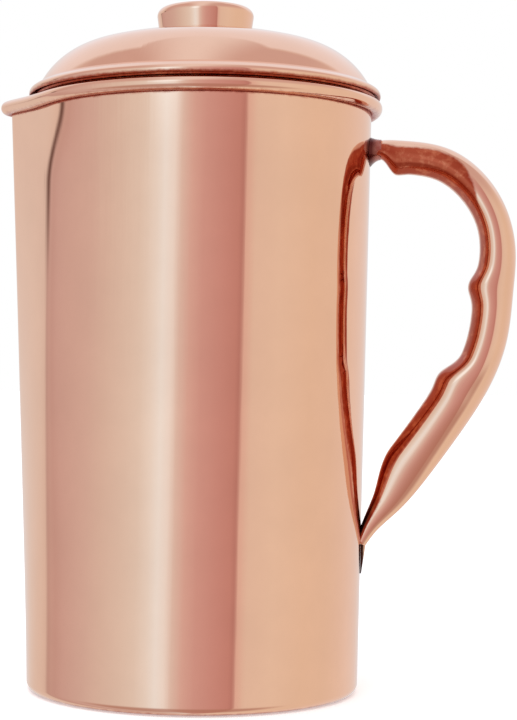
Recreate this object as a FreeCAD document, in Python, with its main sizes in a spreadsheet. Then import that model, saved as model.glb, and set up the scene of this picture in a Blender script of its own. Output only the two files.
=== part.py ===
"""Lidded copper water jug: a spun and brazed jug with a poured lip, a hollow handle and a lift-off lid.

Frame: +Z up, origin on the resting plane at the centre of the base, handle towards +X, lip towards -X.
All lengths are millimetres. The driving sizes are in the spreadsheet "sizes".
"""
import FreeCAD, Part
import math
import os
import Sketcher

DRIVING_SIZES = [
    # body wall
    ("body_gauge", 1.0, "sheet thickness of the jug wall and its rolled rim"),
    ("base_radius", 57.2, "outer radius of the wall at the base"),
    ("mouth_flare", 0.5, "how much larger the wall's radius is under the rim than at the base"),
    ("mouth_offset", 2.6, "how far the mouth circle leans towards the handle"),
    ("rim_height", 199.9, "height of the middle of the rolled rim"),
    ("corner_radius", 2.8, "outer radius where the wall turns in under the base"),
    ("foot_lip_width", 10.2, "width of the turned-in lip that the jug stands on"),
    ("lip_draw", 10.5, "how far the pouring lip is drawn out past the mouth's circle"),
    ("lip_point_radius", 5.0, "plan radius at the point of the pouring lip"),
    ("base_side_angle", 30.0, "where the drawn-out side starts at the base, degrees from -X"),
    ("base_point_angle", 7.0, "where the lip's ridge starts at the base, degrees from -X"),
    ("wire_diameter", 2.5, "wire inside the rolled rim"),
    ("wire_clearance", 0.05, "between the wire and the roll around it"),
    # base plate
    ("plate_gauge", 1.0, "thickness of the base plate"),
    ("plate_clearance", 0.15, "between the base plate's edge and the wall's inner corner"),
    ("plate_rise", 3.0, "how far the middle of the base plate is pressed up"),
    ("plate_land", 10.0, "width of the flat ring round the pressed-up middle"),
    # lid
    ("lid_gauge", 0.9, "sheet thickness of the lid"),
    ("lid_flange_width", 3.8, "plan width of the flange between the dome and the rolled edge's outside"),
    ("lid_foot_slope", 62.0, "slope of the dome at its foot, degrees"),
    ("lid_crown_radius", 150.0, "outer radius of curvature of the crown"),
    ("lid_shoulder_radius", 28.0, "outer radius of curvature of the shoulder"),
    ("lid_overhang", 3.0, "how far the lid's edge stands outside the wall under the rim"),
    ("lid_roll_radius", 1.7, "section radius of the rolled lid edge"),
    ("lid_flange_drop", 3.2, "dome foot down to the middle of the rolled edge"),
    ("lid_seat_gap", 0.3, "between the lid's rolled edge and the rim it rests on"),
    ("collar_gauge", 0.8, "thickness of the locating collar under the lid"),
    ("collar_clearance", 0.6, "between the collar and the mouth"),
    ("collar_depth", 9.0, "collar's reach below the top of the rim"),
    # knob
    ("knob_radius", 16.7, "outer radius of the knob"),
    ("knob_thickness", 10.1, "height of the knob from its foot"),
    ("knob_taper", 0.8, "how much narrower the knob's foot is than its widest"),
    ("knob_edge_radius", 2.8, "rounding of the knob's upper edge"),
    ("knob_seat_gap", 0.3, "between the knob's foot and the lid"),
    ("knob_crown_rise", 1.2, "how far the knob's top bulges above its rounded edge"),
    ("knob_gauge", 1.0, "sheet thickness of the knob"),
    ("insert_radius", 6.0, "outer radius of the threaded insert in the knob"),
    ("screw_radius", 2.0, "shank radius of the knob's screw"),
    ("screw_clearance", 0.25, "between the screw's shank and the hole in the lid"),
    ("thread_clearance", 0.05, "between the screw's shank and the insert"),
    ("screw_head_radius", 3.8, "radius of the screw's head"),
    ("screw_head_height", 2.4, "height of the screw's head"),
    ("screw_slot_width", 1.0, "width of the driver slot"),
    ("screw_slot_depth", 1.1, "depth of the driver slot"),
    ("screw_engagement", 4.2, "length of screw inside the insert"),
    ("washer_radius", 5.5, "outer radius of the washer"),
    ("washer_gauge", 0.8, "thickness of the washer"),
    # handle
    ("handle_gauge", 1.1, "sheet thickness of the handle shells"),
    ("handle_reach", 50.3, "wall to the back of the handle at its furthest"),
    ("handle_drop", 10.9, "middle of the rim down to the handle's back where it leaves the wall"),
    ("handle_span", 138.5, "height from the lower tip to the handle's back at the top"),
    ("handle_width", 17.5, "widest part of the grip, across the hand"),
    ("neck_depth", 6.4, "depth of the neck next to the upper foot"),
    ("upper_grip_depth", 11.5, "depth of the grip above the finger bumps"),
    ("middle_grip_depth", 13.4, "depth of the grip between the finger bumps"),
    ("lower_grip_depth", 16.4, "depth of the grip below the finger bumps"),
    ("tip_depth", 3.0, "depth of the lower tip"),
    ("finger_bump", 2.3, "height of the pointed bump between the fingers"),
    ("braze_reach", 3.6, "how far the upper braze fillet runs out along the neck"),
    ("braze_spread", 2.2, "how far the upper braze fillet spreads round the neck"),
    ("braze_clearance", 0.08, "between each braze and the handle it holds"),
    ("tail_length", 10.0, "length of the braze tail below the lower tip"),
    ("tail_width", 5.0, "width of the braze tail at the tip"),
    ("tail_depth", 2.2, "depth of the braze tail at the tip"),
]

DERIVED_SIZES = [
    ("mouth_radius", "=base_radius + mouth_flare"),
    ("foot_lip_radius", "=base_radius - foot_lip_width"),
    ("lip_reach", "=mouth_radius + lip_draw"),
    ("rim_roll_radius", "=body_gauge + wire_diameter / 2 + wire_clearance"),
    ("rim_top", "=rim_height + rim_roll_radius"),
    ("rim_offset", "=rim_roll_radius + rim_set_back - body_gauge"),
    ("mouth_cos", "=(mouth_radius - lip_point_radius) / (lip_reach - lip_point_radius)"),
    ("mouth_sin", "=sqrt(1 - mouth_cos * mouth_cos)"),
    ("base_side_cos", "=cos(base_side_angle * 1 deg)"),
    ("base_side_sin", "=sin(base_side_angle * 1 deg)"),
    ("base_point_cos", "=cos(base_point_angle * 1 deg)"),
    ("base_point_sin", "=sin(base_point_angle * 1 deg)"),
    ("plate_radius", "=base_radius - corner_radius - plate_clearance"),
    ("lid_edge_radius", "=mouth_radius + lid_overhang"),
    ("lid_foot_radius", "=lid_edge_radius - lid_flange_width"),
    ("lid_roll_centre_height", "=rim_top + lid_seat_gap + lid_roll_radius"),
    ("lid_roll_centre_radius", "=lid_edge_radius - lid_roll_radius"),
    ("lid_foot_height", "=lid_roll_centre_height + lid_flange_drop"),
    ("foot_sin", "=sin(lid_foot_slope * 1 deg)"),
    ("foot_cos", "=cos(lid_foot_slope * 1 deg)"),
    ("shoulder_centre_radius", "=lid_foot_radius - lid_shoulder_radius * foot_sin"),
    ("shoulder_centre_height", "=lid_foot_height - lid_shoulder_radius * foot_cos"),
    ("crown_sin", "=shoulder_centre_radius / (lid_crown_radius - lid_shoulder_radius)"),
    ("crown_cos", "=sqrt(1 - crown_sin * crown_sin)"),
    ("crown_centre_height", "=shoulder_centre_height - (lid_crown_radius - lid_shoulder_radius) * crown_cos"),
    ("lid_top", "=crown_centre_height + lid_crown_radius"),
    ("lid_inner_crown", "=lid_crown_radius - lid_gauge"),
    ("lid_inner_shoulder", "=lid_shoulder_radius - lid_gauge"),
    ("collar_radius", "=mouth_radius - body_gauge - collar_clearance"),
    ("knob_foot_radius", "=knob_radius - knob_taper"),
    ("knob_foot_height", "=crown_centre_height + sqrt(lid_crown_radius^2 - knob_foot_radius^2) + knob_seat_gap"),
    ("knob_top", "=knob_foot_height + knob_thickness"),
    ("knob_edge_centre", "=knob_radius - knob_edge_radius"),
    ("knob_edge_height", "=knob_top - knob_crown_rise - knob_edge_radius"),
    ("knob_crown_radius", "=(knob_edge_centre^2 + knob_crown_rise^2) / (2 * knob_crown_rise)"),
    ("knob_inner_crown", "=knob_crown_radius - knob_gauge"),
    ("insert_top", "=knob_top - knob_crown_radius + sqrt(knob_inner_crown^2 - insert_radius^2)"),
    ("lid_hole_radius", "=screw_radius + screw_clearance"),
    ("insert_hole_radius", "=screw_radius + thread_clearance"),
    ("washer_top", "=crown_centre_height + sqrt(lid_inner_crown^2 - washer_radius^2)"),
    ("screw_seat", "=washer_top - washer_gauge"),
    ("screw_tip", "=lid_top + screw_engagement"),
    ("handle_top", "=rim_height - handle_drop"),
    ("handle_tip", "=handle_top - handle_span"),
]
# the rim's roll stands this far outside the wall's inner face, so that the two meet in a clean edge
RIM_SET_BACK = 0.1

# back of the handle from the wall at the top to the lower tip: shares of the reach and of the span
HANDLE_BACK = [
    (-0.050, 0.985), (0.040, 0.998), (0.200, 1.000), (0.531, 0.978), (0.767, 0.917), (0.932, 0.823),
    (0.994, 0.718), (0.985, 0.632), (0.946, 0.501), (0.820, 0.378), (0.656, 0.280), (0.469, 0.182),
    (0.238, 0.080), (0.092, 0.028), (0.030, -0.004),
]
# depth of the handle along its back: the size it changes to, where that starts, and over what share
HANDLE_DEPTHS = [
    ("upper_grip_depth", 0.022, 0.045),
    ("middle_grip_depth", 0.300, 0.200),
    ("lower_grip_depth", 0.595, 0.085),
    ("tip_depth", 0.828, 0.202),
]
# bumps on the finger side: share of the bump's height, place along the back and half width
FINGER_BUMPS = [(1.0, 0.455, 0.024), (0.6, 0.655, 0.030), (0.25, 0.068, 0.014)]
# width of the handle as a share of its widest, at the neck and at the tip, and where it changes
NECK_WIDTH_SHARE = 0.58
TIP_WIDTH_SHARE = 0.26
HANDLE_SWELL = (0.02, 0.26)
HANDLE_TAPER = (0.62, 0.40)
# stations along the whole handle, and along the ends that the brazes are cut from
HANDLE_STATIONS = 40
HANDLE_END_STATIONS = 8
HANDLE_NECK_END = 0.12
HANDLE_TIP_START = 0.85
# half section of the handle: share of the depth from the back, and share of half the width
HANDLE_SECTION = [
    (0.0, 0.0), (0.035, 0.34), (0.12, 0.62), (0.25, 0.85), (0.40, 0.965), (0.55, 1.0), (0.68, 0.97),
    (0.78, 0.86), (0.88, 0.60), (0.95, 0.35), (0.985, 0.16), (1.0, 0.0),
]
OVAL_STEPS = 12

# upper braze: how far it starts inside the wall's face, the room round the neck at its thin edge, and
# how it leans and grows towards the wall as shares of its spread
UPPER_BRAZE_STEPS = 4
BRAZE_START = 1.2
BRAZE_EDGE = 0.15
BRAZE_EDGE_HEIGHT = 0.24
BRAZE_SAG_SHARE = 0.6
BRAZE_HEIGHT_SHARE = 1.2
# lower braze: how much thinner its tail is at the end
LOWER_BRAZE_STEPS = 6
TAIL_TAPER = 0.85


def add_sizes(doc):
    """Fill the spreadsheet with the driving sizes and what follows from them."""
    sheet = doc.addObject("Spreadsheet::Sheet", "sizes")
    row = 1
    for name, value, note in DRIVING_SIZES + [("rim_set_back", RIM_SET_BACK, "roll to wall inner face")]:
        sheet.set("A%d" % row, name)
        sheet.set("B%d" % row, str(value))
        sheet.set("C%d" % row, note)
        sheet.setAlias("B%d" % row, name)
        row += 1
    for name, formula in DERIVED_SIZES:
        sheet.set("A%d" % row, name)
        sheet.set("B%d" % row, formula)
        sheet.setAlias("B%d" % row, name)
        row += 1
    doc.recompute()
    return sheet


doc = FreeCAD.newDocument("copper_water_jug")
sheet = add_sizes(doc)


def size(name):
    """The present value of a named size."""
    return float(sheet.get(name))


def value_of(expression):
    """The present value of an expression in the named sizes."""
    return float(sheet.evalExpression(expression))


def bind(target, path, expression):
    """Tie a property to the spreadsheet; bare size names become references to it."""
    target.setExpression(path, expression)


def sized(expression):
    """Prefix each size name in an expression with its sheet, as other objects need it."""
    words = []
    word = ""
    for letter in expression + " ":
        if letter.isalnum() or letter == "_":
            word += letter
            continue
        words.append("sizes." + word if word in ALIASES else word)
        words.append(letter)
        word = ""
    return "".join(words).strip()


ALIASES = {entry[0] for entry in DRIVING_SIZES + DERIVED_SIZES} | {"rim_set_back"}


def origin_plane(body, role):
    """One of the body's own origin planes."""
    return [item for item in body.Origin.OriginFeatures if item.Role == role][0]


def add_sketch(body, name, role, offset=None):
    """A sketch on one of the body's own planes, lifted by an expression if one is given."""
    sketch = body.newObject("Sketcher::SketchObject", name)
    sketch.AttachmentSupport = [(origin_plane(body, role), "")]
    sketch.MapMode = "FlatFace"
    if offset is not None:
        bind(sketch, "AttachmentOffset.Base.z", sized(offset))
    return sketch


def arc_between(start, end, radius, turn):
    """Arc of a given radius from start to end; turn is 1 for anticlockwise and -1 for clockwise."""
    chord = end - start
    rise = math.sqrt(max(radius * radius - chord.Length ** 2 / 4, 0))
    side = FreeCAD.Vector(-chord.y, chord.x, 0).normalize()
    centre = start + chord * 0.5 + side * rise * turn
    middle = centre - side * radius * turn
    return Part.Arc(start, middle, end)


def draw_outline(sketch, corners):
    """Closed outline. Each corner is (x, y, arc, turn): its place, and the arc to the next corner.

    The arc is a radius expression, or None for a straight side.
    """
    points = [FreeCAD.Vector(value_of(x), value_of(y), 0) for x, y, _, _ in corners]
    segments = []
    starts = []
    for index, (_, _, arc, turn) in enumerate(corners):
        start = points[index]
        end = points[(index + 1) % len(points)]
        if arc is None:
            segments.append(sketch.addGeometry(Part.LineSegment(start, end)))
            starts.append((1, 2))
            continue
        segments.append(sketch.addGeometry(arc_between(start, end, value_of(arc), turn)))
        starts.append((1, 2) if turn > 0 else (2, 1))
    for index, segment in enumerate(segments):
        following = (index + 1) % len(segments)
        end_point = starts[index][1]
        start_point = starts[following][0]
        sketch.addConstraint(Sketcher.Constraint(
            "Coincident", segment, end_point, segments[following], start_point))
    for index, (x, y, arc, _) in enumerate(corners):
        pin = starts[index][0]
        for kind, expression, axis in (("DistanceX", x, -2), ("DistanceY", y, -1)):
            value = value_of(expression)
            if abs(value) < 1e-9:
                sketch.addConstraint(Sketcher.Constraint("PointOnObject", segments[index], pin, axis))
                continue
            number = sketch.addConstraint(Sketcher.Constraint(kind, -1, 1, segments[index], pin, value))
            bind(sketch, "Constraints[%d]" % number, sized(expression))
        if arc is not None:
            number = sketch.addConstraint(Sketcher.Constraint("Radius", segments[index], value_of(arc)))
            bind(sketch, "Constraints[%d]" % number, sized(arc))
    return sketch


def new_body(label, offset=None):
    """An empty body with a label, set off along X where it belongs to the mouth's axis."""
    body = doc.addObject("PartDesign::Body", label)
    body.Label = label
    if offset is not None:
        bind(body, "Placement.Base.x", sized(offset))
    return body


def turned_body(label, corners, offset=None):
    """A body turned about its own Z axis from a half section in the XZ plane."""
    body = new_body(label, offset)
    sketch = add_sketch(body, label + "_section", "XZ_Plane")
    draw_outline(sketch, corners)
    turn = body.newObject("PartDesign::Revolution", label + "_turn")
    turn.Profile = sketch
    turn.ReferenceAxis = (sketch, ["V_Axis"])
    turn.Angle = 360
    body.Tip = turn
    doc.recompute()
    return body


def base_plan(inset):
    """Round plan at the base, moved in from the outer face; its corners match those of the mouth."""
    radius = "(base_radius - %s)" % inset
    side_x = "-%s * base_side_cos" % radius
    side_y = "%s * base_side_sin" % radius
    point_x = "-%s * base_point_cos" % radius
    point_y = "%s * base_point_sin" % radius
    return [
        (radius, "0", radius, 1),
        (side_x, side_y, radius, 1),
        (point_x, point_y, radius, 1),
        (point_x, "-" + point_y, radius, 1),
        (side_x, "-" + side_y, radius, 1),
    ]


def mouth_plan(inset):
    """Plan under the rim, moved in from the outer face: a round tube drawn out to a point."""
    radius = "(mouth_radius - %s)" % inset
    point_radius = "(lip_point_radius - %s)" % inset
    point_centre = "(mouth_offset - lip_reach + lip_point_radius)"
    side_x = "mouth_offset - %s * mouth_cos" % radius
    side_y = "%s * mouth_sin" % radius
    point_x = "%s - %s * mouth_cos" % (point_centre, point_radius)
    point_y = "%s * mouth_sin" % point_radius
    return [
        ("mouth_offset + " + radius, "0", radius, 1),
        (side_x, side_y, None, 0),
        (point_x, point_y, point_radius, 1),
        (point_x, "-" + point_y, None, 0),
        (side_x, "-" + side_y, radius, 1),
    ]


def loft_between(body, name, kind, lower, upper):
    """Add or remove the ruled shape between two plans."""
    loft = body.newObject("PartDesign::" + kind, name)
    loft.Profile = lower
    loft.Sections = [upper]
    loft.Ruled = True
    body.Tip = loft
    doc.recompute()
    return loft


def roll_section():
    """Section of the rolled rim, open where the curl ends beside the wall."""
    half = math.sqrt(3) / 2
    outer = "rim_roll_radius"
    inner = "(rim_roll_radius - body_gauge)"
    middle = "(mouth_offset + mouth_radius + rim_offset)"
    turns = [(-1, 0), (0, 1), (1, 0), (0, -1), (-0.5, -half)]
    corners = []
    for index, (x, y) in enumerate(turns):
        last = index == len(turns) - 1
        corners.append(("%s + %s * (%r)" % (middle, outer, x), "rim_height + %s * (%r)" % (outer, y),
                        None if last else outer, -1))
    for index, (x, y) in enumerate(reversed(turns)):
        last = index == len(turns) - 1
        corners.append(("%s + %s * (%r)" % (middle, inner, x), "rim_height + %s * (%r)" % (inner, y),
                        None if last else inner, 1))
    return corners


def rim_path(body, name):
    """Plan of the middle of the rolled rim."""
    sketch = add_sketch(body, name, "XY_Plane", "rim_height")
    return draw_outline(sketch, mouth_plan("(-rim_offset)"))


def make_body_wall():
    """Drawn tube with a pouring lip, a rolled rim and a lip turned in under the base."""
    body = new_body("body_wall")
    lower = draw_outline(add_sketch(body, "wall_foot_plan", "XY_Plane", "corner_radius"), base_plan("0"))
    upper = draw_outline(add_sketch(body, "wall_mouth_plan", "XY_Plane", "rim_height"), mouth_plan("0"))
    outer = loft_between(body, "wall_outer", "AdditiveLoft", lower, upper)
    lower_in = add_sketch(body, "wall_inner_foot_plan", "XY_Plane", "corner_radius")
    draw_outline(lower_in, base_plan("body_gauge"))
    upper_in = add_sketch(body, "wall_inner_mouth_plan", "XY_Plane", "rim_height")
    draw_outline(upper_in, mouth_plan("body_gauge"))
    inner = loft_between(body, "wall_inner", "SubtractiveLoft", lower_in, upper_in)
    if inner.Shape.Volume > 0.1 * outer.Shape.Volume:
        raise RuntimeError("the inside of the wall is not cut out")
    corner = draw_outline(add_sketch(body, "wall_corner_section", "XZ_Plane"), [
        ("base_radius", "corner_radius", None, 0),
        ("base_radius - body_gauge", "corner_radius", "corner_radius - body_gauge", -1),
        ("base_radius - corner_radius", "body_gauge", None, 0),
        ("foot_lip_radius", "body_gauge", None, 0),
        ("foot_lip_radius", "0", None, 0),
        ("base_radius - corner_radius", "0", "corner_radius", 1),
    ])
    turned_in = body.newObject("PartDesign::Revolution", "wall_corner")
    turned_in.Profile = corner
    turned_in.ReferenceAxis = (corner, ["V_Axis"])
    turned_in.Angle = 360
    body.Tip = turned_in
    doc.recompute()
    path = rim_path(body, "rim_plan")
    section = draw_outline(add_sketch(body, "rim_section", "XZ_Plane"), roll_section())
    roll = body.newObject("PartDesign::AdditivePipe", "rim_roll")
    roll.Profile = section
    roll.Spine = path
    body.Tip = roll
    doc.recompute()
    return body, outer


def make_rim_wire():
    """Wire that the rim is rolled round."""
    body = new_body("rim_wire")
    path = rim_path(body, "wire_plan")
    section = add_sketch(body, "wire_section", "XZ_Plane")
    middle = "mouth_offset + mouth_radius + rim_offset"
    centre = FreeCAD.Vector(value_of(middle), size("rim_height"), 0)
    section.addGeometry(Part.Circle(centre, FreeCAD.Vector(0, 0, 1), size("wire_diameter") / 2))
    section.addConstraint(Sketcher.Constraint("DistanceX", -1, 1, 0, 3, centre.x))
    section.addConstraint(Sketcher.Constraint("DistanceY", -1, 1, 0, 3, centre.y))
    section.addConstraint(Sketcher.Constraint("Radius", 0, size("wire_diameter") / 2))
    bind(section, "Constraints[0]", sized(middle))
    bind(section, "Constraints[1]", "sizes.rim_height")
    bind(section, "Constraints[2]", "sizes.wire_diameter / 2")
    wire = body.newObject("PartDesign::AdditivePipe", "wire_sweep")
    wire.Profile = section
    wire.Spine = path
    body.Tip = wire
    doc.recompute()
    return body


def make_base_plate():
    """Plate brazed onto the turned-in lip, its middle pressed up."""
    land = "(plate_radius - plate_land)"
    dish = "((%s^2 + plate_rise^2) / (2 * plate_rise))" % land
    dish_top = "(body_gauge + plate_rise)"
    return turned_body("base_plate", [
        ("0", dish_top, dish, -1),
        (land, "body_gauge", None, 0),
        ("plate_radius", "body_gauge", None, 0),
        ("plate_radius", "body_gauge + plate_gauge", None, 0),
        (land, "body_gauge + plate_gauge", dish, 1),
        ("0", dish_top + " + plate_gauge", None, 0),
    ])


def make_lid_dome():
    """Spun dome with a sloping flange and a rolled edge."""
    centre_r = "lid_roll_centre_radius"
    centre_z = "lid_roll_centre_height"
    run = "(lid_roll_centre_radius - lid_foot_radius)"
    span = "sqrt(%s^2 + lid_flange_drop^2)" % run
    far = "sqrt(%s^2 + lid_flange_drop^2 - lid_roll_radius^2)" % run
    # unit vector from the foot along the flange's upper face, tangent to the roll
    along_r = "((%s * %s + lid_flange_drop * lid_roll_radius) / (%s)^2)" % (run, far, span)
    along_z = "((%s * lid_roll_radius - lid_flange_drop * %s) / (%s)^2)" % (run, far, span)
    touch_r = "(lid_foot_radius + %s * %s)" % (far, along_r)
    touch_z = "(lid_foot_height + %s * %s)" % (far, along_z)
    inner_foot_r = "(shoulder_centre_radius + lid_inner_shoulder * foot_sin)"
    inner_foot_z = "(shoulder_centre_height + lid_inner_shoulder * foot_cos)"
    crown_join_r = "lid_crown_radius * crown_sin"
    crown_join_z = "crown_centre_height + lid_crown_radius * crown_cos"
    inner_join_r = "lid_inner_crown * crown_sin"
    inner_join_z = "crown_centre_height + lid_inner_crown * crown_cos"
    hole_outer = "crown_centre_height + sqrt(lid_crown_radius^2 - lid_hole_radius^2)"
    hole_inner = "crown_centre_height + sqrt(lid_inner_crown^2 - lid_hole_radius^2)"
    return turned_body("lid_dome", [
        ("lid_hole_radius", hole_outer, "lid_crown_radius", -1),
        (crown_join_r, crown_join_z, "lid_shoulder_radius", -1),
        ("lid_foot_radius", "lid_foot_height", None, 0),
        (touch_r, touch_z, "lid_roll_radius", -1),
        (centre_r, centre_z + " - lid_roll_radius", "lid_roll_radius", -1),
        (centre_r + " - lid_roll_radius", centre_z, None, 0),
        (inner_foot_r, inner_foot_z, "lid_inner_shoulder", 1),
        (inner_join_r, inner_join_z, "lid_inner_crown", 1),
        ("lid_hole_radius", hole_inner, None, 0),
    ], "mouth_offset")


def make_lid_collar():
    """Ring brazed inside the dome's foot; it drops into the mouth and centres the lid."""
    reach = "(collar_radius - shoulder_centre_radius)"
    top = "shoulder_centre_height + sqrt(lid_inner_shoulder^2 - %s^2)" % reach
    bottom = "rim_top - collar_depth"
    inner = "collar_radius - collar_gauge"
    return turned_body("lid_collar", [
        (inner, bottom, None, 0),
        ("collar_radius", bottom, None, 0),
        ("collar_radius", top, None, 0),
        (inner, top, None, 0),
    ], "mouth_offset")


def make_knob_shell():
    """Hollow cap with nearly upright sides, its foot just clear of the lid."""
    edge = "knob_edge_radius"
    edge_in = "(knob_edge_radius - knob_gauge)"
    centre = "knob_edge_centre"
    middle = "knob_edge_height"
    lean = "(knob_taper / (knob_edge_height - knob_foot_height))"
    # the side leaves the rounded edge a little below its equator, square to the edge's radius there
    side_cos = "(1 / sqrt(1 + %s^2))" % lean
    side_sin = "(%s * %s)" % (lean, side_cos)
    foot_r = "(%s + %s * %s - %s * (%s - %s * %s - knob_foot_height))" % (
        centre, edge, side_cos, lean, middle, edge, side_sin)
    return turned_body("knob_shell", [
        ("0", "knob_top - knob_gauge", "knob_inner_crown", -1),
        (centre, middle + " + " + edge_in, edge_in, -1),
        ("%s + %s * %s" % (centre, edge_in, side_cos), "%s - %s * %s" % (middle, edge_in, side_sin), None, 0),
        (foot_r + " - knob_gauge", "knob_foot_height", None, 0),
        (foot_r, "knob_foot_height", None, 0),
        ("%s + %s * %s" % (centre, edge, side_cos), "%s - %s * %s" % (middle, edge, side_sin), edge, 1),
        (centre, middle + " + " + edge, "knob_crown_radius", 1),
        ("0", "knob_top", None, 0),
    ], "mouth_offset")


def make_knob_insert():
    """Threaded boss brazed inside the knob; it stands on the lid."""
    return turned_body("knob_insert", [
        ("insert_hole_radius", "lid_top", None, 0),
        ("insert_radius", "lid_top", None, 0),
        ("insert_radius", "insert_top", None, 0),
        ("insert_hole_radius", "insert_top", None, 0),
    ], "mouth_offset")


def make_knob_washer():
    """Washer under the lid's crown."""
    return turned_body("knob_washer", [
        ("lid_hole_radius", "screw_seat", None, 0),
        ("washer_radius", "screw_seat", None, 0),
        ("washer_radius", "washer_top", None, 0),
        ("lid_hole_radius", "washer_top", None, 0),
    ], "mouth_offset")


def make_knob_screw():
    """Slotted screw from inside the lid into the knob's insert."""
    head_round = "((screw_head_radius^2 + (screw_head_height / 2)^2) / screw_head_height)"
    body = turned_body("knob_screw", [
        ("0", "screw_seat - screw_head_height", head_round, 1),
        ("screw_head_radius", "screw_seat - screw_head_height / 2", None, 0),
        ("screw_head_radius", "screw_seat", None, 0),
        ("screw_radius", "screw_seat", None, 0),
        ("screw_radius", "screw_tip", None, 0),
        ("0", "screw_tip", None, 0),
    ], "mouth_offset")
    volume = body.Tip.Shape.Volume
    sketch = add_sketch(body, "slot_plan", "XY_Plane", "screw_seat - screw_head_height")
    half = "screw_slot_width / 2"
    draw_outline(sketch, [
        ("screw_head_radius", "-" + half, None, 0),
        ("screw_head_radius", half, None, 0),
        ("-screw_head_radius", half, None, 0),
        ("-screw_head_radius", "-" + half, None, 0),
    ])
    slot = body.newObject("PartDesign::Pocket", "driver_slot")
    slot.Profile = sketch
    slot.Length = size("screw_slot_depth")
    bind(slot, "Length", "sizes.screw_slot_depth")
    slot.Reversed = True
    body.Tip = slot
    doc.recompute()
    if slot.Shape.Volume > volume - 1:
        raise RuntimeError("the driver slot cuts nothing")
    return body


def wall_outer_x(height):
    """Outer face of the wall on the handle's side at a height."""
    share = height / size("rim_height")
    lean = size("mouth_offset") * share
    return size("base_radius") + (size("mouth_radius") - size("base_radius")) * share + lean


def ease(share):
    """Smooth step from 0 to 1."""
    share = min(max(share, 0.0), 1.0)
    return share * share * (3 - 2 * share)


def bump(place, centre, spread):
    """Rounded bump of height 1."""
    return math.exp(-((place - centre) / spread) ** 2)


class Handle:
    """Shape of the hollow handle: its back line, its depth and its width along the way."""

    def __init__(self):
        top = size("handle_top")
        points = []
        for out, up in HANDLE_BACK:
            height = top - (1 - up) * size("handle_span")
            points.append(FreeCAD.Vector(wall_outer_x(height) + out * size("handle_reach"), 0, height))
        self.back = Part.BSplineCurve()
        self.back.interpolate(points)
        self.length = self.back.length()

    def depth(self, share):
        """Depth from the back towards the fingers."""
        before = size("neck_depth")
        depth = before
        for name, start, spread in HANDLE_DEPTHS:
            depth += (size(name) - before) * ease((share - start) / spread)
            before = size(name)
        for part, centre, spread in FINGER_BUMPS:
            depth += part * size("finger_bump") * bump(share, centre, spread)
        return depth

    def width(self, share):
        """Width across the hand."""
        swell = ease((share - HANDLE_SWELL[0]) / HANDLE_SWELL[1])
        taper = ease((share - HANDLE_TAPER[0]) / HANDLE_TAPER[1])
        grown = NECK_WIDTH_SHARE + (1 - NECK_WIDTH_SHARE) * swell
        return size("handle_width") * grown * (1 - (1 - TIP_WIDTH_SHARE) * taper)

    def frame(self, share):
        """Middle of the section at a share of the length, and the direction from back to fingers."""
        place = self.back.parameterAtDistance(share * self.length, self.back.FirstParameter)
        tangent = FreeCAD.Vector(*self.back.tangent(place)[0])
        inward = FreeCAD.Vector(0, 1, 0).cross(tangent).normalize()
        return self.back.value(place) + inward * (self.depth(share) / 2), inward

    def half_section(self, share, inset):
        """Points of the left half of the section, from the back to the fingers."""
        middle, inward = self.frame(share)
        half_depth = self.depth(share) / 2 - inset
        half_width = self.width(share) / 2 - inset
        return [middle + inward * half_depth * (2 * down - 1) + FreeCAD.Vector(0, 1, 0) * half_width * across
                for down, across in HANDLE_SECTION]

    def shell_section(self, share):
        """Channel section of the left shell, its two edges on the middle plane."""
        outer = self.half_section(share, 0.0)
        inner = self.half_section(share, size("handle_gauge"))
        return Part.Wire([
            spline_edge(outer),
            Part.LineSegment(outer[-1], inner[-1]).toShape(),
            spline_edge(list(reversed(inner))),
            Part.LineSegment(inner[0], outer[0]).toShape(),
        ])

    def full_section(self, share):
        """Closed section round the whole handle, just clear of its outer face."""
        left = self.half_section(share, -size("braze_clearance"))
        right = [FreeCAD.Vector(point.x, -point.y, point.z) for point in reversed(left)]
        return Part.Wire([spline_edge(left), spline_edge(right)])

    def solid(self, section, first, last, steps):
        """Solid through the sections between two shares of the length."""
        wires = [section(first + (last - first) * step / steps) for step in range(steps + 1)]
        return Part.makeLoft(wires, True, False)


def spline_edge(points):
    """Smooth edge through points."""
    curve = Part.BSplineCurve()
    curve.interpolate(points)
    return curve.toShape()


def add_shape(label, shape):
    """A sub-part whose shape is worked out here."""
    feature = doc.addObject("Part::Feature", label)
    feature.Label = label
    feature.Shape = shape
    feature.Placement = FreeCAD.Placement()
    return feature


def largest_solid(shape):
    """The main solid of a cut, without its slivers."""
    return max(shape.Solids, key=lambda solid: solid.Volume)


def make_handle(wall_solid):
    """Two pressed shells that meet on the middle plane."""
    handle = Handle()
    shell = handle.solid(handle.shell_section, 0.0, 1.0, HANDLE_STATIONS)
    left = add_shape("handle_shell_left", largest_solid(shell.cut(wall_solid)))
    mirrored = shell.mirror(FreeCAD.Vector(), FreeCAD.Vector(0, 1, 0))
    right = add_shape("handle_shell_right", largest_solid(mirrored.cut(wall_solid)))
    return handle, left, right


def oval_wire(centre, along, half_along, half_across):
    """Level or upright oval; one axis is Y."""
    curve = Part.BSplineCurve()
    points = []
    for step in range(OVAL_STEPS):
        angle = 2 * math.pi * step / OVAL_STEPS
        points.append(centre + along * half_along * math.cos(angle)
                      + FreeCAD.Vector(0, 1, 0) * half_across * math.sin(angle))
    curve.interpolate(Points=points, PeriodicFlag=True)
    return Part.Wire(curve.toShape())


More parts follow.
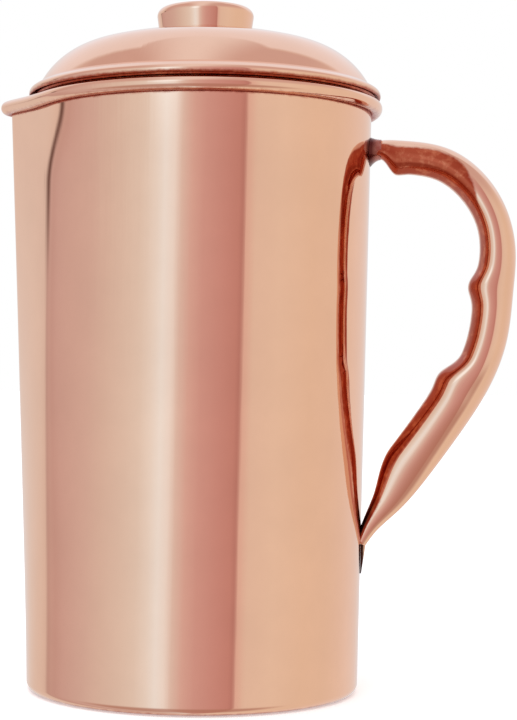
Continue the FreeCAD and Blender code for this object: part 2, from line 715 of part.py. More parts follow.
def make_upper_braze(handle, wall_solid):
    """Flared fillet of braze round the handle's neck."""
    top = size("handle_top")
    half_neck = size("neck_depth") / 2
    spread = size("braze_spread")
    half_width = handle.width(0.0) / 2
    wires = []
    for step in range(UPPER_BRAZE_STEPS + 1):
        share = step / UPPER_BRAZE_STEPS
        flare = spread * (1 - share) ** 2
        out = (size("braze_reach") + BRAZE_START) * share - BRAZE_START
        centre = FreeCAD.Vector(wall_outer_x(top) + out, 0, top - half_neck - BRAZE_SAG_SHARE * flare)
        half_height = half_neck + BRAZE_HEIGHT_SHARE * flare + BRAZE_EDGE_HEIGHT
        wires.append(oval_wire(centre, FreeCAD.Vector(0, 0, 1), half_height, half_width + flare + BRAZE_EDGE))
    fillet = Part.makeLoft(wires, True, False)
    neck_solid = handle.solid(handle.full_section, 0.0, HANDLE_NECK_END, HANDLE_END_STATIONS)
    return add_shape("handle_braze_upper", largest_solid(fillet.cut(neck_solid).cut(wall_solid)))


def make_lower_braze(handle, wall_solid):
    """Tail of braze that runs down the wall from the handle's lower tip."""
    start = size("handle_tip") + 2 * size("tail_depth")
    run = size("tail_length") + 2 * size("tail_depth")
    wires = []
    for step in range(LOWER_BRAZE_STEPS + 1):
        share = step / LOWER_BRAZE_STEPS
        height = start - run * share
        fade = 1 - TAIL_TAPER * share
        centre = FreeCAD.Vector(wall_outer_x(height), 0, height)
        wires.append(oval_wire(centre, FreeCAD.Vector(1, 0, 0), size("tail_depth") * fade,
                               size("tail_width") / 2 * fade))
    tail = Part.makeLoft(wires, True, False)
    tip_solid = handle.solid(handle.full_section, HANDLE_TIP_START, 1.0, HANDLE_END_STATIONS)
    return add_shape("handle_braze_lower", largest_solid(tail.cut(tip_solid).cut(wall_solid)))


def check_document(parts):
    """Stop if any feature failed or any sub-part is empty or invalid."""
    for item in doc.Objects:
        if "Invalid" in item.State or "Error" in item.State:
            raise RuntimeError("%s failed: %s" % (item.Name, item.State))
    for part in parts:
        if part.Shape.isNull() or not part.Shape.isValid():
            raise RuntimeError("%s has no valid shape" % part.Label)
        if len(part.Shape.Solids) != 1:
            raise RuntimeError("%s has %d solids" % (part.Label, len(part.Shape.Solids)))


body_wall, wall_outer = make_body_wall()
wall_solid = wall_outer.Shape
handle, handle_left, handle_right = make_handle(wall_solid)
PARTS = [
    body_wall,
    make_rim_wire(),
    make_base_plate(),
    handle_left,
    handle_right,
    make_upper_braze(handle, wall_solid),
    make_lower_braze(handle, wall_solid),
    make_lid_dome(),
    make_lid_collar(),
    make_knob_shell(),
    make_knob_insert(),
    make_knob_washer(),
    make_knob_screw(),
]
doc.recompute()
check_document(PARTS)
os.makedirs("parts", exist_ok=True)
for part in PARTS:
    part.Shape.exportStep("parts/%s.step" % part.Label)
    box = part.Shape.BoundBox
    print("%-20s solids %d volume %.0f x %.1f..%.1f z %.1f..%.1f" % (
        part.Label, len(part.Shape.Solids), part.Shape.Volume, box.XMin, box.XMax, box.ZMin, box.ZMax))
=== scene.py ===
"""Looks of a lidded copper water jug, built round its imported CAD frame.

Metres, in the frame of the CAD: +Z up, handle towards +X, pouring lip towards -X, resting plane at z = 0.
"""
import math

import bmesh
import bpy
from mathutils import Matrix, Vector


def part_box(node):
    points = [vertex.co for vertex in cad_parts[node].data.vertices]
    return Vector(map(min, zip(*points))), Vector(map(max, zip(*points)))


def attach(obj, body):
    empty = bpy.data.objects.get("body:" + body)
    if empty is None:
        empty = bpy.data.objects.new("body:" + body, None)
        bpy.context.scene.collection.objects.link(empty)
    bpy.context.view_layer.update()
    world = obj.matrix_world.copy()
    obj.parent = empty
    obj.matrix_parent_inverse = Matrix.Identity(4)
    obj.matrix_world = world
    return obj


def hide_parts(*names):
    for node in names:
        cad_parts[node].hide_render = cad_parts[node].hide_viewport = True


MM = 0.001
MERGE_DISTANCE = 1e-7
EMPTY_LENGTH = 1e-8

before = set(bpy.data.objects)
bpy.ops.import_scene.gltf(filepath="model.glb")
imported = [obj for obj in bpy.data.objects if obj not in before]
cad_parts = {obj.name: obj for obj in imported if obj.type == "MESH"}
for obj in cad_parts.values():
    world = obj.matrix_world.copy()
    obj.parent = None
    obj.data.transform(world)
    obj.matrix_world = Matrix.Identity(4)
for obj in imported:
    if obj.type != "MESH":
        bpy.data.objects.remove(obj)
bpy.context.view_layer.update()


def box_mm(node):
    """Lowest and highest corners of a CAD node, in millimetres."""
    low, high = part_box(node)
    return [value / MM for value in low], [value / MM for value in high]


# sizes in millimetres; the outer ones come from the frame
WALL_LOW, WALL_HIGH = box_mm("body_wall")
LID_LOW, LID_HIGH = box_mm("lid_dome")
KNOB_LOW, KNOB_HIGH = box_mm("knob_shell")
COLLAR_LOW, COLLAR_HIGH = box_mm("lid_collar")
PLATE_LOW, PLATE_HIGH = box_mm("base_plate")

# the wall, its rolled rim and its pouring lip; LEAN is how far the mouth stands towards the handle
GAUGE = 1.0
ROLL_RADIUS = 2.3
ROLL_OFFSET = 1.4
LEAN = (LID_LOW[0] + LID_HIGH[0]) / 2
MOUTH_RADIUS = WALL_HIGH[1] - ROLL_RADIUS - ROLL_OFFSET
BASE_RADIUS = 57.2
CORNER_RADIUS = 2.8
FOOT_LIP_RADIUS = 47.0
FOOT_LIP_EDGE = 0.25
RIM_HEIGHT = WALL_HIGH[2] - ROLL_RADIUS
LIP_REACH = LEAN - WALL_LOW[0] - ROLL_RADIUS - ROLL_OFFSET
LIP_POINT_RADIUS = 5.0
LIP_LIFT = 1.0
LIP_LIFT_START = 52.0
LIP_LIFT_RUN = 16.0
BASE_SIDE_ANGLE = 30.0
BASE_POINT_ANGLE = 7.0
INNER_FACE_DROP = 0.6

# how the wall's mesh is divided
ROUND_STEPS = 240
SIDE_STEPS = 36
POINT_STEPS = 28
SOFTEN_PASSES = 10
FOOT_ROWS = 4
CORNER_ROWS = 16
INNER_CORNER_ROWS = 8
WALL_ROWS = 64
ROLL_ROWS = 48
INNER_ROWS = 40

# painted red shade and reflection on the copper, 0 plain copper to 1 red; 2 is near-black painted shade
# in crevices
CREASE_RED_SHADE = [(1.8, 0.0), (1.2, 0.15), (0.7, 0.45), (0.3, 0.75), (0.0, 0.9)]
BEAD_RED_SHADE = 0.9
BEAD_UNDERSIDE = 120.0
BEAD_INNER_START = 75.0
BEAD_INNER_RUN = 35.0
BEAD_INNER_ROWS = 2
FOOT_RED_SHADE = 0.8
FOOT_RED_HEIGHT = 1.3

# the lid; each step of its hem is an inset, a drop and a number of rows
LID_GAUGE = 0.9
LID_EDGE_RADIUS = (LID_HIGH[0] - LID_LOW[0]) / 2
LID_ROLL = 1.7
LID_FLANGE_WIDTH = 3.8
LID_FOOT_RADIUS = LID_EDGE_RADIUS - LID_FLANGE_WIDTH
LID_FOOT_SLOPE = 62.0
LID_FLANGE_DROP = 3.2
LID_CROWN_RADIUS = 150.0
LID_SHOULDER_RADIUS = 28.0
LID_HOLE_RADIUS = 2.25
LID_UNDERCUT_ANGLE = -38.0
LID_HEM = [(0.4, 0.55, 4), (0.9, LID_ROLL, 3), (1.5, LID_ROLL - 0.2, 2), (LID_ROLL, 0.0, 3)]
LID_RED_SHADE = 0.9
LID_RED_ROWS = 12
COLLAR_GAUGE = 0.8
COLLAR_TUCK = 0.3

KNOB_RADIUS = (KNOB_HIGH[0] - KNOB_LOW[0]) / 2
KNOB_TAPER = 0.8
KNOB_EDGE = 2.8
KNOB_FOOT_ROUND = 0.45
KNOB_CROWN_RISE = 1.2
KNOB_GAUGE = 1.0

PLATE_LAND = 10.0
PLATE_EDGE = 0.2

# the handle: bumps and depths are a size, where it comes along the back line and over what share of it
HANDLE_REACH = 50.3
HANDLE_TOP = 189.0
HANDLE_SPAN = 138.5
HANDLE_WIDTH = 17.5
HANDLE_GAUGE = 1.1
NECK_DEPTH = 6.4
HANDLE_DEPTHS = [
    (11.5, 0.022, 0.045), (13.4, 0.300, 0.200), (16.4, 0.595, 0.085), (3.0, 0.828, 0.202),
]
FINGER_BUMPS = [(2.3, 0.455, 0.024), (1.38, 0.655, 0.030), (0.58, 0.068, 0.014)]
NECK_WIDTH_SHARE = 0.58
SWELL_START, SWELL_RUN = 0.02, 0.26
TAPER_START, TAPER_RUN, TAPER_SHARE = 0.62, 0.40, 0.74
HANDLE_SECTION = [
    (0.0, 0.0), (0.035, 0.34), (0.12, 0.62), (0.25, 0.85), (0.40, 0.965), (0.55, 1.0), (0.68, 0.97),
    (0.78, 0.86), (0.88, 0.60), (0.95, 0.35), (0.985, 0.16), (1.0, 0.0),
]
HANDLE_BACK = [
    (-0.050, 0.985), (0.040, 0.998), (0.200, 1.000), (0.531, 0.978), (0.767, 0.917), (0.932, 0.823),
    (0.994, 0.718), (0.985, 0.632), (0.946, 0.501), (0.820, 0.378), (0.656, 0.280), (0.469, 0.182),
    (0.238, 0.080), (0.092, 0.028), (0.030, -0.004),
]
SLOPE_STEP = 0.05
SEAM_DEPTH = 0.18
SEAM_REACH = 0.5
SEAM_HALF_GAP = 0.01
WALL_TUCK = 0.35
HANDLE_ROWS = 260
HALF_STEPS = 44

# the handle's painted red shade and reflection along the back line and across the depth, in shares; each
# pair is a start and a run; neck and tip take near-black painted shade
TOP_PATCH_START = (0.015, 0.02)
TOP_PATCH_END = (0.17, 0.13)
RED_BORDER, TOP_BORDER_SHIFT = 0.76, 0.54
RED_SOFTNESS, TOP_EXTRA_SOFTNESS = 0.10, 0.05
INNER_LINE = (0.965, 0.02)
INNER_LINE_SHINE = 0.75
TIP_ALONG = (0.90, 0.07)
TIP_DOWN = (0.55, 0.25)
ROOT_ALONG = (0.004, 0.022)
ROOT_DOWN = (0.20, 0.30)
CREVICE_SHADED = 1.9

# camera: level but for a small roll, lengths in metres, the rest as shares of the picture's height
CAMERA_AZIMUTH = 7.0
CAMERA_DISTANCE = 0.624
CAMERA_HEIGHT = 0.107
CAMERA_ROLL = 0.55
CAMERA_FOCAL_SHARE = 2.49722
CAMERA_SHIFT_X = 0.088611
CAMERA_SHIFT_Y = 0.025
SENSOR_MM = 24.0
CLIP_START = 0.01

# the studio as the metal sees it: degrees to the right of the camera, and the light from there
TENT_TURN = -10.0
STUDIO = [
    (-180, (0.80, 0.80, 0.82)), (-165, (0.82, 0.80, 0.81)), (-140, (0.83, 0.81, 0.78)),
    (-118, (0.82, 0.80, 0.77)), (-110.5, (0.79, 0.76, 0.74)), (-107.5, (0.66, 0.55, 0.55)),
    (-98, (0.64, 0.52, 0.53)), (-90, (0.68, 0.58, 0.60)),
    (-72, (0.73, 0.68, 0.70)), (-56, (0.78, 0.79, 0.80)), (-40, (0.83, 0.90, 0.92)),
    (-30, (0.86, 0.98, 1.02)), (-22, (0.92, 1.12, 1.22)), (-15, (0.97, 1.28, 1.48)),
    (-9, (0.96, 1.18, 1.32)), (-4, (0.82, 0.84, 0.88)), (3, (0.77, 0.64, 0.66)),
    (11, (0.71, 0.52, 0.54)), (25, (0.66, 0.43, 0.44)), (34, (0.62, 0.38, 0.38)),
    (37.5, (0.54, 0.32, 0.32)), (39, (0.82, 0.68, 0.66)), (46, (0.86, 0.84, 0.79)),
    (64, (0.89, 0.88, 0.81)), (90, (0.88, 0.84, 0.74)), (111, (0.87, 0.83, 0.74)),
    (140, (0.90, 0.86, 0.82)), (165, (0.86, 0.82, 0.80)), (180, (0.80, 0.80, 0.82)),
]
STUDIO_PEAK = 2.0

# its other parts: bearings and reaches in degrees, and pairs of heights or places between which each
# part eases in or out, as shares of a direction of length 1
LAMP_LIGHT = (1.20, 1.65, 1.95)
LAMP_BEARING = -15.0
LAMP_REACH = 15.0
LAMP_FOOT = (0.12, 0.19)
LAMP_HEAD = (0.42, 0.60)
LAMP_SHARE = 0.8
GAP_LIGHT = (0.16, 0.10, 0.09)
GAP_BEARING = -107.5
GAP_REACH = 5.5
GAP_LEAN = math.radians(15.0)
GAP_LEAN_HEIGHTS = (-0.16, 0.07)
GAP_BEND = math.radians(19.5)
GAP_BEND_HEIGHTS = (0.112, 0.158)
GAP_SWAY_REACH = 42.0
GAP_DEPTH = 0.95
GAP_FAINT = 0.10
GAP_FOOT = (0.05, 0.12)
GAP_HEAD = (0.20, 0.32)
CEILING_LIGHT = (0.72, 0.60, 0.60)
CEILING_MIDDLE_LIGHT = (0.93, 0.98, 1.04)
CEILING_MIDDLE_SHIFT = 0.06
CEILING_MIDDLE_EDGE = (0.02, 0.42)
CEILING_FRONT = (0.36, 0.80)
CEILING_BACK = (0.90, 0.93)
CEILING_TURN = 0.25
CEILING_SPREAD = 0.5
CEILING_DROOP = 0.45
CEILING_DROOP_TOP = 0.95
CEILING_EDGE = (-0.08, 0.08)
BEHIND_LIGHT = (0.95, 1.00, 1.08)
BEHIND_FOOT = (0.17, 0.50)
GROUND_LIGHT = (0.50, 0.31, 0.27)
GROUND_SHARE = 0.8
GROUND_HEAD = (-0.60, -0.22)
GROUND_FRONT = (0.05, 0.45)

FLOOR_HALF_SIZE = 12.0
FLOOR_DROP = 0.0003
FLOOR_SHADE = 0.9
FLOOR_GLOW = 0.42
OVERHEAD_PLACE = (-0.3, -0.4, 1.6)
OVERHEAD_AIM = (0.0, 0.0, 0.1)
OVERHEAD_SIZE = (1.4, 1.0)
OVERHEAD_POWER = 6.0
BOUNCES = 16

# colours of the metal, and the marks in its surface: sizes in metres, scales in waves to the metre
COPPER = (0.86, 0.53, 0.39)
# painted reflection of the copper body and painted shade, in dark red and orange mottled together
PAINTED_RED_REFLECTION = (0.40, 0.068, 0.032)
PAINTED_ORANGE_REFLECTION = (0.60, 0.17, 0.085)
# near-black painted shade for crevices
CREVICE_SHADE = (0.05, 0.018, 0.014)
# painted shade in the crease where the upper braze meets the wall
BRAZE_CREASE_SHADE = (0.11, 0.022, 0.020)
BRAZE = (0.42, 0.15, 0.12)
# darker red than the copper: painted shade, as the ring sits in the gap under the lid
COLLAR_COPPER_SHADED = (0.60, 0.20, 0.12)
WIRE_STEEL = (0.45, 0.44, 0.43)
TURNED_STEEL = (0.62, 0.61, 0.60)
TURNED_BRASS = (0.72, 0.56, 0.27)
ARC_PER_RADIAN = 0.057
BUMP_UNIT = 0.0001
POLISHED_ROUGHNESS = (0.012, 0.05)
TURNED_ROUGHNESS = (0.20, 0.32)
SATIN_ROUGHNESS = (0.22, 0.34)
INSIDE_ROUGHNESS = (0.16, 0.26)
CREASE_ROUGHNESS = 0.25
STREAK_SCALE = 260.0
STREAK_STRETCH = 0.04
STREAKS_AT_TOP = 9.0
STREAK_ANGLE = math.radians(-112)
STREAK_SIDES = (0.08, 0.30)
STREAK_HEIGHTS = (0.10, 0.17)
WAVE_SCALE = 28.0
HAZE_SCALE = 45.0
SATIN_HAZE_SCALE = 35.0
SATIN_LINE_SCALE = 1500.0
SATIN_LINE_STRETCH = 0.004
SATIN_LINE_DEPTH = 0.000012
TURNED_LINE_SCALE = 3200.0
TURNED_LINE_STRETCH = 0.0005
TURNED_LINE_DEPTH = 0.00001
RAGGED_SCALE = 420.0
RAGGED_AMOUNT = 0.9
MOTTLE_SCALE = 300.0
CREASE_SCALE = 900.0
CREASE_RAGGED = 0.0003
UPPER_BRAZE_DARK = (0.0003, 0.0022)
LOWER_BRAZE_DARK = (0.0006, 0.0010)

# sockets of a mix node set to colour
MIX_FACTOR, MIX_FIRST, MIX_SECOND, MIX_RESULT = 0, 6, 7, 2


# ---------------------------------------------------------------- meshes

def object_from(name, mesh_data):
    """A scene object for a finished mesh."""
    made = bpy.data.objects.new(name, mesh_data)
    bpy.context.scene.collection.objects.link(made)
    return made


def skin(name, rows, sharp=(), materials=(), row_material=None, wrap_rows=False, caps=False,
         redness=None):
    """Surface through closed rows of points in millimetres.

    sharp are the rows whose edges stay crisp; row_material gives each band of faces its material slot;
    the last argument gives, by row and place in it, how much painted red shade and reflection the copper
    takes.
    """
    mesh = bmesh.new()
    stain = mesh.verts.layers.float.new("redness")
    count = len(rows[0])
    rings = [[mesh.verts.new(Vector(point) * MM) for point in row] for row in rows]
    if redness is not None:
        for number, ring in enumerate(rings):
            for index, vertex in enumerate(ring):
                vertex[stain] = redness(number, index)
    bands = len(rows) if wrap_rows else len(rows) - 1
    for band in range(bands):
        low, high = rings[band], rings[(band + 1) % len(rows)]
        for index in range(count):
            after = (index + 1) % count
            face = mesh.faces.new((low[index], low[after], high[after], high[index]))
            face.smooth = True
            if row_material is not None:
                face.material_index = row_material(band)
    for ring in sharp:
        for index in range(count):
            edge = mesh.edges.get((rings[ring][index], rings[ring][(index + 1) % count]))
            if edge is not None:
                edge.smooth = False
    if caps:
        for ring in (rings[0], rings[-1]):
            mesh.faces.new(ring)
    bmesh.ops.remove_doubles(mesh, verts=mesh.verts, dist=MERGE_DISTANCE)
    bmesh.ops.dissolve_degenerate(mesh, edges=mesh.edges, dist=EMPTY_LENGTH)
    bmesh.ops.recalc_face_normals(mesh, faces=mesh.faces)
    data = bpy.data.meshes.new(name)
    mesh.to_mesh(data)
    mesh.free()
    for material in materials:
        data.materials.append(material)
    return object_from(name, data)


def arc(centre, radius, start, end, steps):
    """Points (radius, height) of an arc, by its angles in degrees."""
    points = []
    for step in range(steps + 1):
        angle = math.radians(start + (end - start) * step / steps)
        points.append((centre[0] + radius * math.cos(angle), centre[1] + radius * math.sin(angle)))
    return points


def line(start, end, steps):
    """Points of a straight run, without its first one."""
    return [
        tuple(a + (b - a) * step / steps for a, b in zip(start, end)) for step in range(1, steps + 1)
    ]


def lathe(name, profile, offset, steps=256, sharp=(), **more):
    """Turned piece: a closed profile of (radius, height) about the upright axis at x = offset."""
    rows = []
    for radius, height in profile:
        ring = []
        for step in range(steps):
            angle = 2 * math.pi * step / steps
            ring.append((offset + radius * math.cos(angle), radius * math.sin(angle), height))
        rows.append(ring)
    return skin(name, rows, sharp=sharp, wrap_rows=True, **more)


def ease(share):
    """Smooth step from 0 to 1."""
    share = min(max(share, 0.0), 1.0)
    return share * share * (3 - 2 * share)


def rise(value, start, run):
    """Smooth step from 0 at the start to 1 at the end of a run."""
    return ease((value - start) / run)


# ---------------------------------------------------------------- the wall

MOUTH_COS = (MOUTH_RADIUS - LIP_POINT_RADIUS) / (LIP_REACH - LIP_POINT_RADIUS)
MOUTH_ANGLE = 180 - math.degrees(math.acos(MOUTH_COS))


def mouth_plan(outset):
    """Plan of the wall under the rim, moved outwards."""
    radius = MOUTH_RADIUS + outset
    point_radius = LIP_POINT_RADIUS + outset
    point_x = LEAN - LIP_REACH + LIP_POINT_RADIUS
    round_part = arc((LEAN, 0), radius, -MOUTH_ANGLE, MOUTH_ANGLE, ROUND_STEPS)
    point_part = arc((point_x, 0), point_radius, MOUTH_ANGLE, 360 - MOUTH_ANGLE, POINT_STEPS)
    points = list(round_part)
    points += line(round_part[-1], point_part[0], SIDE_STEPS)
    points += point_part[1:]
    points += line(point_part[-1], round_part[0], SIDE_STEPS)[:-1]
    return points


def base_plan(outset):
    """Round plan at the base, whose points match those of the mouth."""
    radius = BASE_RADIUS + outset
    side = 180 - BASE_SIDE_ANGLE
    point = 180 - BASE_POINT_ANGLE
    points = arc((0, 0), radius, -side, side, ROUND_STEPS)
    points += arc((0, 0), radius, side, point, SIDE_STEPS)[1:]
    points += arc((0, 0), radius, point, 360 - point, POINT_STEPS)[1:]
    points += arc((0, 0), radius, 360 - point, 360 - side, SIDE_STEPS)[1:-1]
    return points


def softened(points):
    """Ease the joints of a plan, so that a reflection runs across them without a kink."""
    count = len(points)
    for _ in range(SOFTEN_PASSES):
        points = [
            tuple((points[i - 1][k] + 2 * points[i][k] + points[(i + 1) % count][k]) / 4 for k in (0, 1))
            for i in range(count)
        ]
    return points


def lip_rise(x):
    """How much the rim is lifted towards the point of the lip."""
    return LIP_LIFT * rise(-x, LIP_LIFT_START, LIP_LIFT_RUN)


def wall_row(height, outset):
    """Plan of the wall at a height."""
    share = (height - CORNER_RADIUS) / (RIM_HEIGHT - CORNER_RADIUS)
    low, high = base_plan(outset), mouth_plan(outset)
    plan = [tuple(a + (b - a) * share for a, b in zip(p, q)) for p, q in zip(low, high)]
    lift = max(share, 0.0) ** 3
    return [(x, y, height + lift * lip_rise(x)) for x, y in softened(plan)]


def corner_row(radius, height):
    """Round row of the turned-in foot."""
    factor = radius / BASE_RADIUS
    return [(x * factor, y * factor, height) for x, y in softened(base_plan(0.0))]


def build_wall(outside, inside):
    """Wall, rolled rim and turned-in foot as one sheet with two faces."""
    outer_slot, inner_slot = 0, 1
    rows = []
    slots = []
    reds = []

    def add(row, slot, red=0.0):
        rows.append(row)
        slots.append(slot)
        reds.append(red)

    add(corner_row(FOOT_LIP_RADIUS, GAUGE), inner_slot)
    add(corner_row(FOOT_LIP_RADIUS, FOOT_LIP_EDGE), outer_slot)
    add(corner_row(FOOT_LIP_RADIUS + FOOT_LIP_EDGE, 0.0), outer_slot)
    bend_radius = BASE_RADIUS - CORNER_RADIUS
    # painted shade under the foot and round its corner, fading upward
    for step in range(1, FOOT_ROWS + 1):
        radius = FOOT_LIP_RADIUS + (bend_radius - FOOT_LIP_RADIUS) * step / FOOT_ROWS
        add(corner_row(radius, 0.0), outer_slot, FOOT_RED_SHADE)
    bend = arc((bend_radius, CORNER_RADIUS), CORNER_RADIUS, -90, 0, CORNER_ROWS)
    for radius, height in bend[1:-1]:
        add(corner_row(radius, height), outer_slot, FOOT_RED_SHADE * (1 - ease(height / FOOT_RED_HEIGHT)))

    crease = RIM_HEIGHT - math.sqrt(ROLL_RADIUS ** 2 - ROLL_OFFSET ** 2)
    for step in range(WALL_ROWS):
        add(wall_row(CORNER_RADIUS + (crease - CORNER_RADIUS) * step / WALL_ROWS, 0.0), outer_slot)
    # painted shade in the crease under the rolled rim
    for below, red in CREASE_RED_SHADE:
        add(wall_row(crease - below, 0.0), outer_slot, red)
    crease_row = len(rows) - 1

    start = -180 + math.degrees(math.acos(ROLL_OFFSET / ROLL_RADIUS))
    for step in range(1, ROLL_ROWS + 1):
        degrees = start + (180 - start) * step / ROLL_ROWS
        angle = math.radians(degrees)
        plan = softened(mouth_plan(ROLL_OFFSET + ROLL_RADIUS * math.cos(angle)))
        height = RIM_HEIGHT + ROLL_RADIUS * math.sin(angle)
        # painted shade and reflection on the underside and inner side of the rolled rim
        red = BEAD_RED_SHADE * max(1 - rise(degrees, start, BEAD_UNDERSIDE),
                                 rise(degrees, BEAD_INNER_START, BEAD_INNER_RUN))
        add([(x, y, height + lip_rise(x)) for x, y in plan], outer_slot, red)

    inner_top = RIM_HEIGHT - INNER_FACE_DROP
    # the top rows of the inner face carry the rim's painted shade
    for step in range(INNER_ROWS + 1):
        height = inner_top - (inner_top - CORNER_RADIUS) * step / INNER_ROWS
        add(wall_row(height, -GAUGE), inner_slot, BEAD_RED_SHADE * (1 - ease(step / BEAD_INNER_ROWS)))
    bend = arc((bend_radius, CORNER_RADIUS), CORNER_RADIUS - GAUGE, 0, -90, INNER_CORNER_ROWS)
    for radius, height in bend[1:]:
        add(corner_row(radius, height), inner_slot)

    made = skin("jug_wall", rows, sharp=(0, crease_row), materials=(outside, inside),
                row_material=lambda band: slots[band], wrap_rows=True,
                redness=lambda number, index: reds[number])
    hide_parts("body_wall")
    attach(made, "jug")


# ---------------------------------------------------------------- the handle

def wall_line(height):
    """Outer face of the wall on the handle's side."""
    share = height / RIM_HEIGHT
    return BASE_RADIUS + (MOUTH_RADIUS - BASE_RADIUS + LEAN) * share


def wall_face(y, height):
    """Outer face of the wall beside the handle."""
    share = height / RIM_HEIGHT
    radius = BASE_RADIUS + (MOUTH_RADIUS - BASE_RADIUS) * share
    return LEAN * share + math.sqrt(radius ** 2 - min(y * y, radius ** 2))


def natural_spline(knots, values):
    """Smooth interpolation through values at knots, as a function."""
    count = len(knots)
    gaps = [knots[i + 1] - knots[i] for i in range(count - 1)]
    bends = [0.0] * count
    diagonal = [1.0] * count
    right = [0.0] * count
    for i in range(1, count - 1):
        factor = gaps[i - 1] / diagonal[i - 1] if i > 1 else 0.0
        diagonal[i] = 2 * (gaps[i - 1] + gaps[i]) - factor * gaps[i - 1]
        slope = (values[i + 1] - values[i]) / gaps[i] - (values[i] - values[i - 1]) / gaps[i - 1]
        right[i] = 6 * slope - factor * right[i - 1]
    for i in range(count - 2, 0, -1):
        bends[i] = (right[i] - gaps[i] * bends[i + 1]) / diagonal[i]

    def at(place):
        i = 0
        while i < count - 2 and place > knots[i + 1]:
            i += 1
        a = (knots[i + 1] - place) / gaps[i]
        b = (place - knots[i]) / gaps[i]
        curve = ((a ** 3 - a) * bends[i] + (b ** 3 - b) * bends[i + 1]) * gaps[i] ** 2 / 6
        return a * values[i] + b * values[i + 1] + curve

    return at


class HandleLine:
    """Back line of the handle with its depth and width along the way."""

    def __init__(self):
        points = []
        for out, up in HANDLE_BACK:
            height = HANDLE_TOP - (1 - up) * HANDLE_SPAN
            points.append((wall_line(height) + out * HANDLE_REACH, height))
        knots = [0.0]
        for before, after in zip(points, points[1:]):
            knots.append(knots[-1] + math.dist(before, after))
        self.x_at = natural_spline(knots, [p[0] for p in points])
        self.z_at = natural_spline(knots, [p[1] for p in points])
        self.length = knots[-1]

    def depth(self, share):
        """Depth from the back towards the fingers."""
        before = depth = NECK_DEPTH
        for reached, start, run in HANDLE_DEPTHS:
            depth += (reached - before) * rise(share, start, run)
            before = reached
        for height, centre, spread in FINGER_BUMPS:
            depth += height * math.exp(-((share - centre) / spread) ** 2)
        return depth

    def width(self, share):
        """Width across the hand."""
        swell = NECK_WIDTH_SHARE + (1 - NECK_WIDTH_SHARE) * rise(share, SWELL_START, SWELL_RUN)
        return HANDLE_WIDTH * swell * (1 - TAPER_SHARE * rise(share, TAPER_START, TAPER_RUN))

    def place(self, share):
        """Point of the back line and the direction from the back to the fingers."""
        at = share * self.length
        dx = self.x_at(at + SLOPE_STEP) - self.x_at(at - SLOPE_STEP)
        dz = self.z_at(at + SLOPE_STEP) - self.z_at(at - SLOPE_STEP)
        size = math.hypot(dx, dz)
        return (self.x_at(at), self.z_at(at)), (dz / size, -dx / size)


def section_curve():
    """Share of the depth and share of the half width along half a section, at even steps."""
    knots = [0.0]
    for before, after in zip(HANDLE_SECTION, HANDLE_SECTION[1:]):
        knots.append(knots[-1] + math.dist(before, after))
    down = natural_spline(knots, [p[0] for p in HANDLE_SECTION])
    across = natural_spline(knots, [p[1] for p in HANDLE_SECTION])
    places = [knots[-1] * (step / HALF_STEPS) for step in range(HALF_STEPS + 1)]
    return [(down(place), max(across(place), 0.0)) for place in places]


def half_section(handle, curve, share, side):
    """Closed section of one pressed shell: outer face, seam land, inner face, seam land."""
    (x, z), inward = handle.place(share)
    depth, width = handle.depth(share), handle.width(share)
    points = []
    for inset, order in ((0.0, 1), (HANDLE_GAUGE, -1)):
        half_depth, half_width = depth / 2 - inset, width / 2 - inset
        ring = []
        for down_share, across_share in curve:
            across = half_width * across_share
            down = depth / 2 + half_depth * (2 * down_share - 1)
            if inset == 0.0 and across < SEAM_REACH:
                pinch = SEAM_DEPTH * (1 - across / SEAM_REACH) ** 2
                down += pinch if down_share < 0.5 else -pinch
            px = x + inward[0] * down
            pz = z + inward[1] * down
            y = side * (across + SEAM_HALF_GAP)
            ring.append((max(px, wall_face(y, pz) - WALL_TUCK), y, pz))
        points += ring[::order]
    return points


def red_zone(share, down_share):
    """How much painted red the metal takes: painted reflection of the jug on the side towards the
    fingers, widest along the top, and near-black painted shade in the crevices at the neck and the lower
    tip.
    """
    top = rise(share, *TOP_PATCH_START) * (1 - rise(share, *TOP_PATCH_END))
    border = RED_BORDER - TOP_BORDER_SHIFT * top
    softness = RED_SOFTNESS + TOP_EXTRA_SOFTNESS * top
    shine = 1 - INNER_LINE_SHINE * rise(down_share, *INNER_LINE)
    red = ease((down_share - border) / softness + 0.5) * shine
    tip = rise(share, *TIP_ALONG) * rise(down_share, *TIP_DOWN)
    root = (1 - rise(share, *ROOT_ALONG)) * rise(down_share, *ROOT_DOWN)
    return red + max(tip, root) * (CREVICE_SHADED - red)


def build_handle(material):
    """Two pressed shells that meet on the middle plane."""
    handle = HandleLine()
    curve = section_curve()

    def redness(number, index):
        # the outer face comes first in each section; all that follows is inside
        return red_zone(number / HANDLE_ROWS, curve[index][0]) if index < len(curve) else 1.0

    for name, node, side in (("grip_shell_left", "handle_shell_left", 1),
                             ("grip_shell_right", "handle_shell_right", -1)):
        rows = [
            half_section(handle, curve, step / HANDLE_ROWS, side) for step in range(HANDLE_ROWS + 1)
        ]
        made = skin(name, rows, materials=(material,), caps=True, redness=redness)
        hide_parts(node)
        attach(made, "jug")


# ---------------------------------------------------------------- the lid

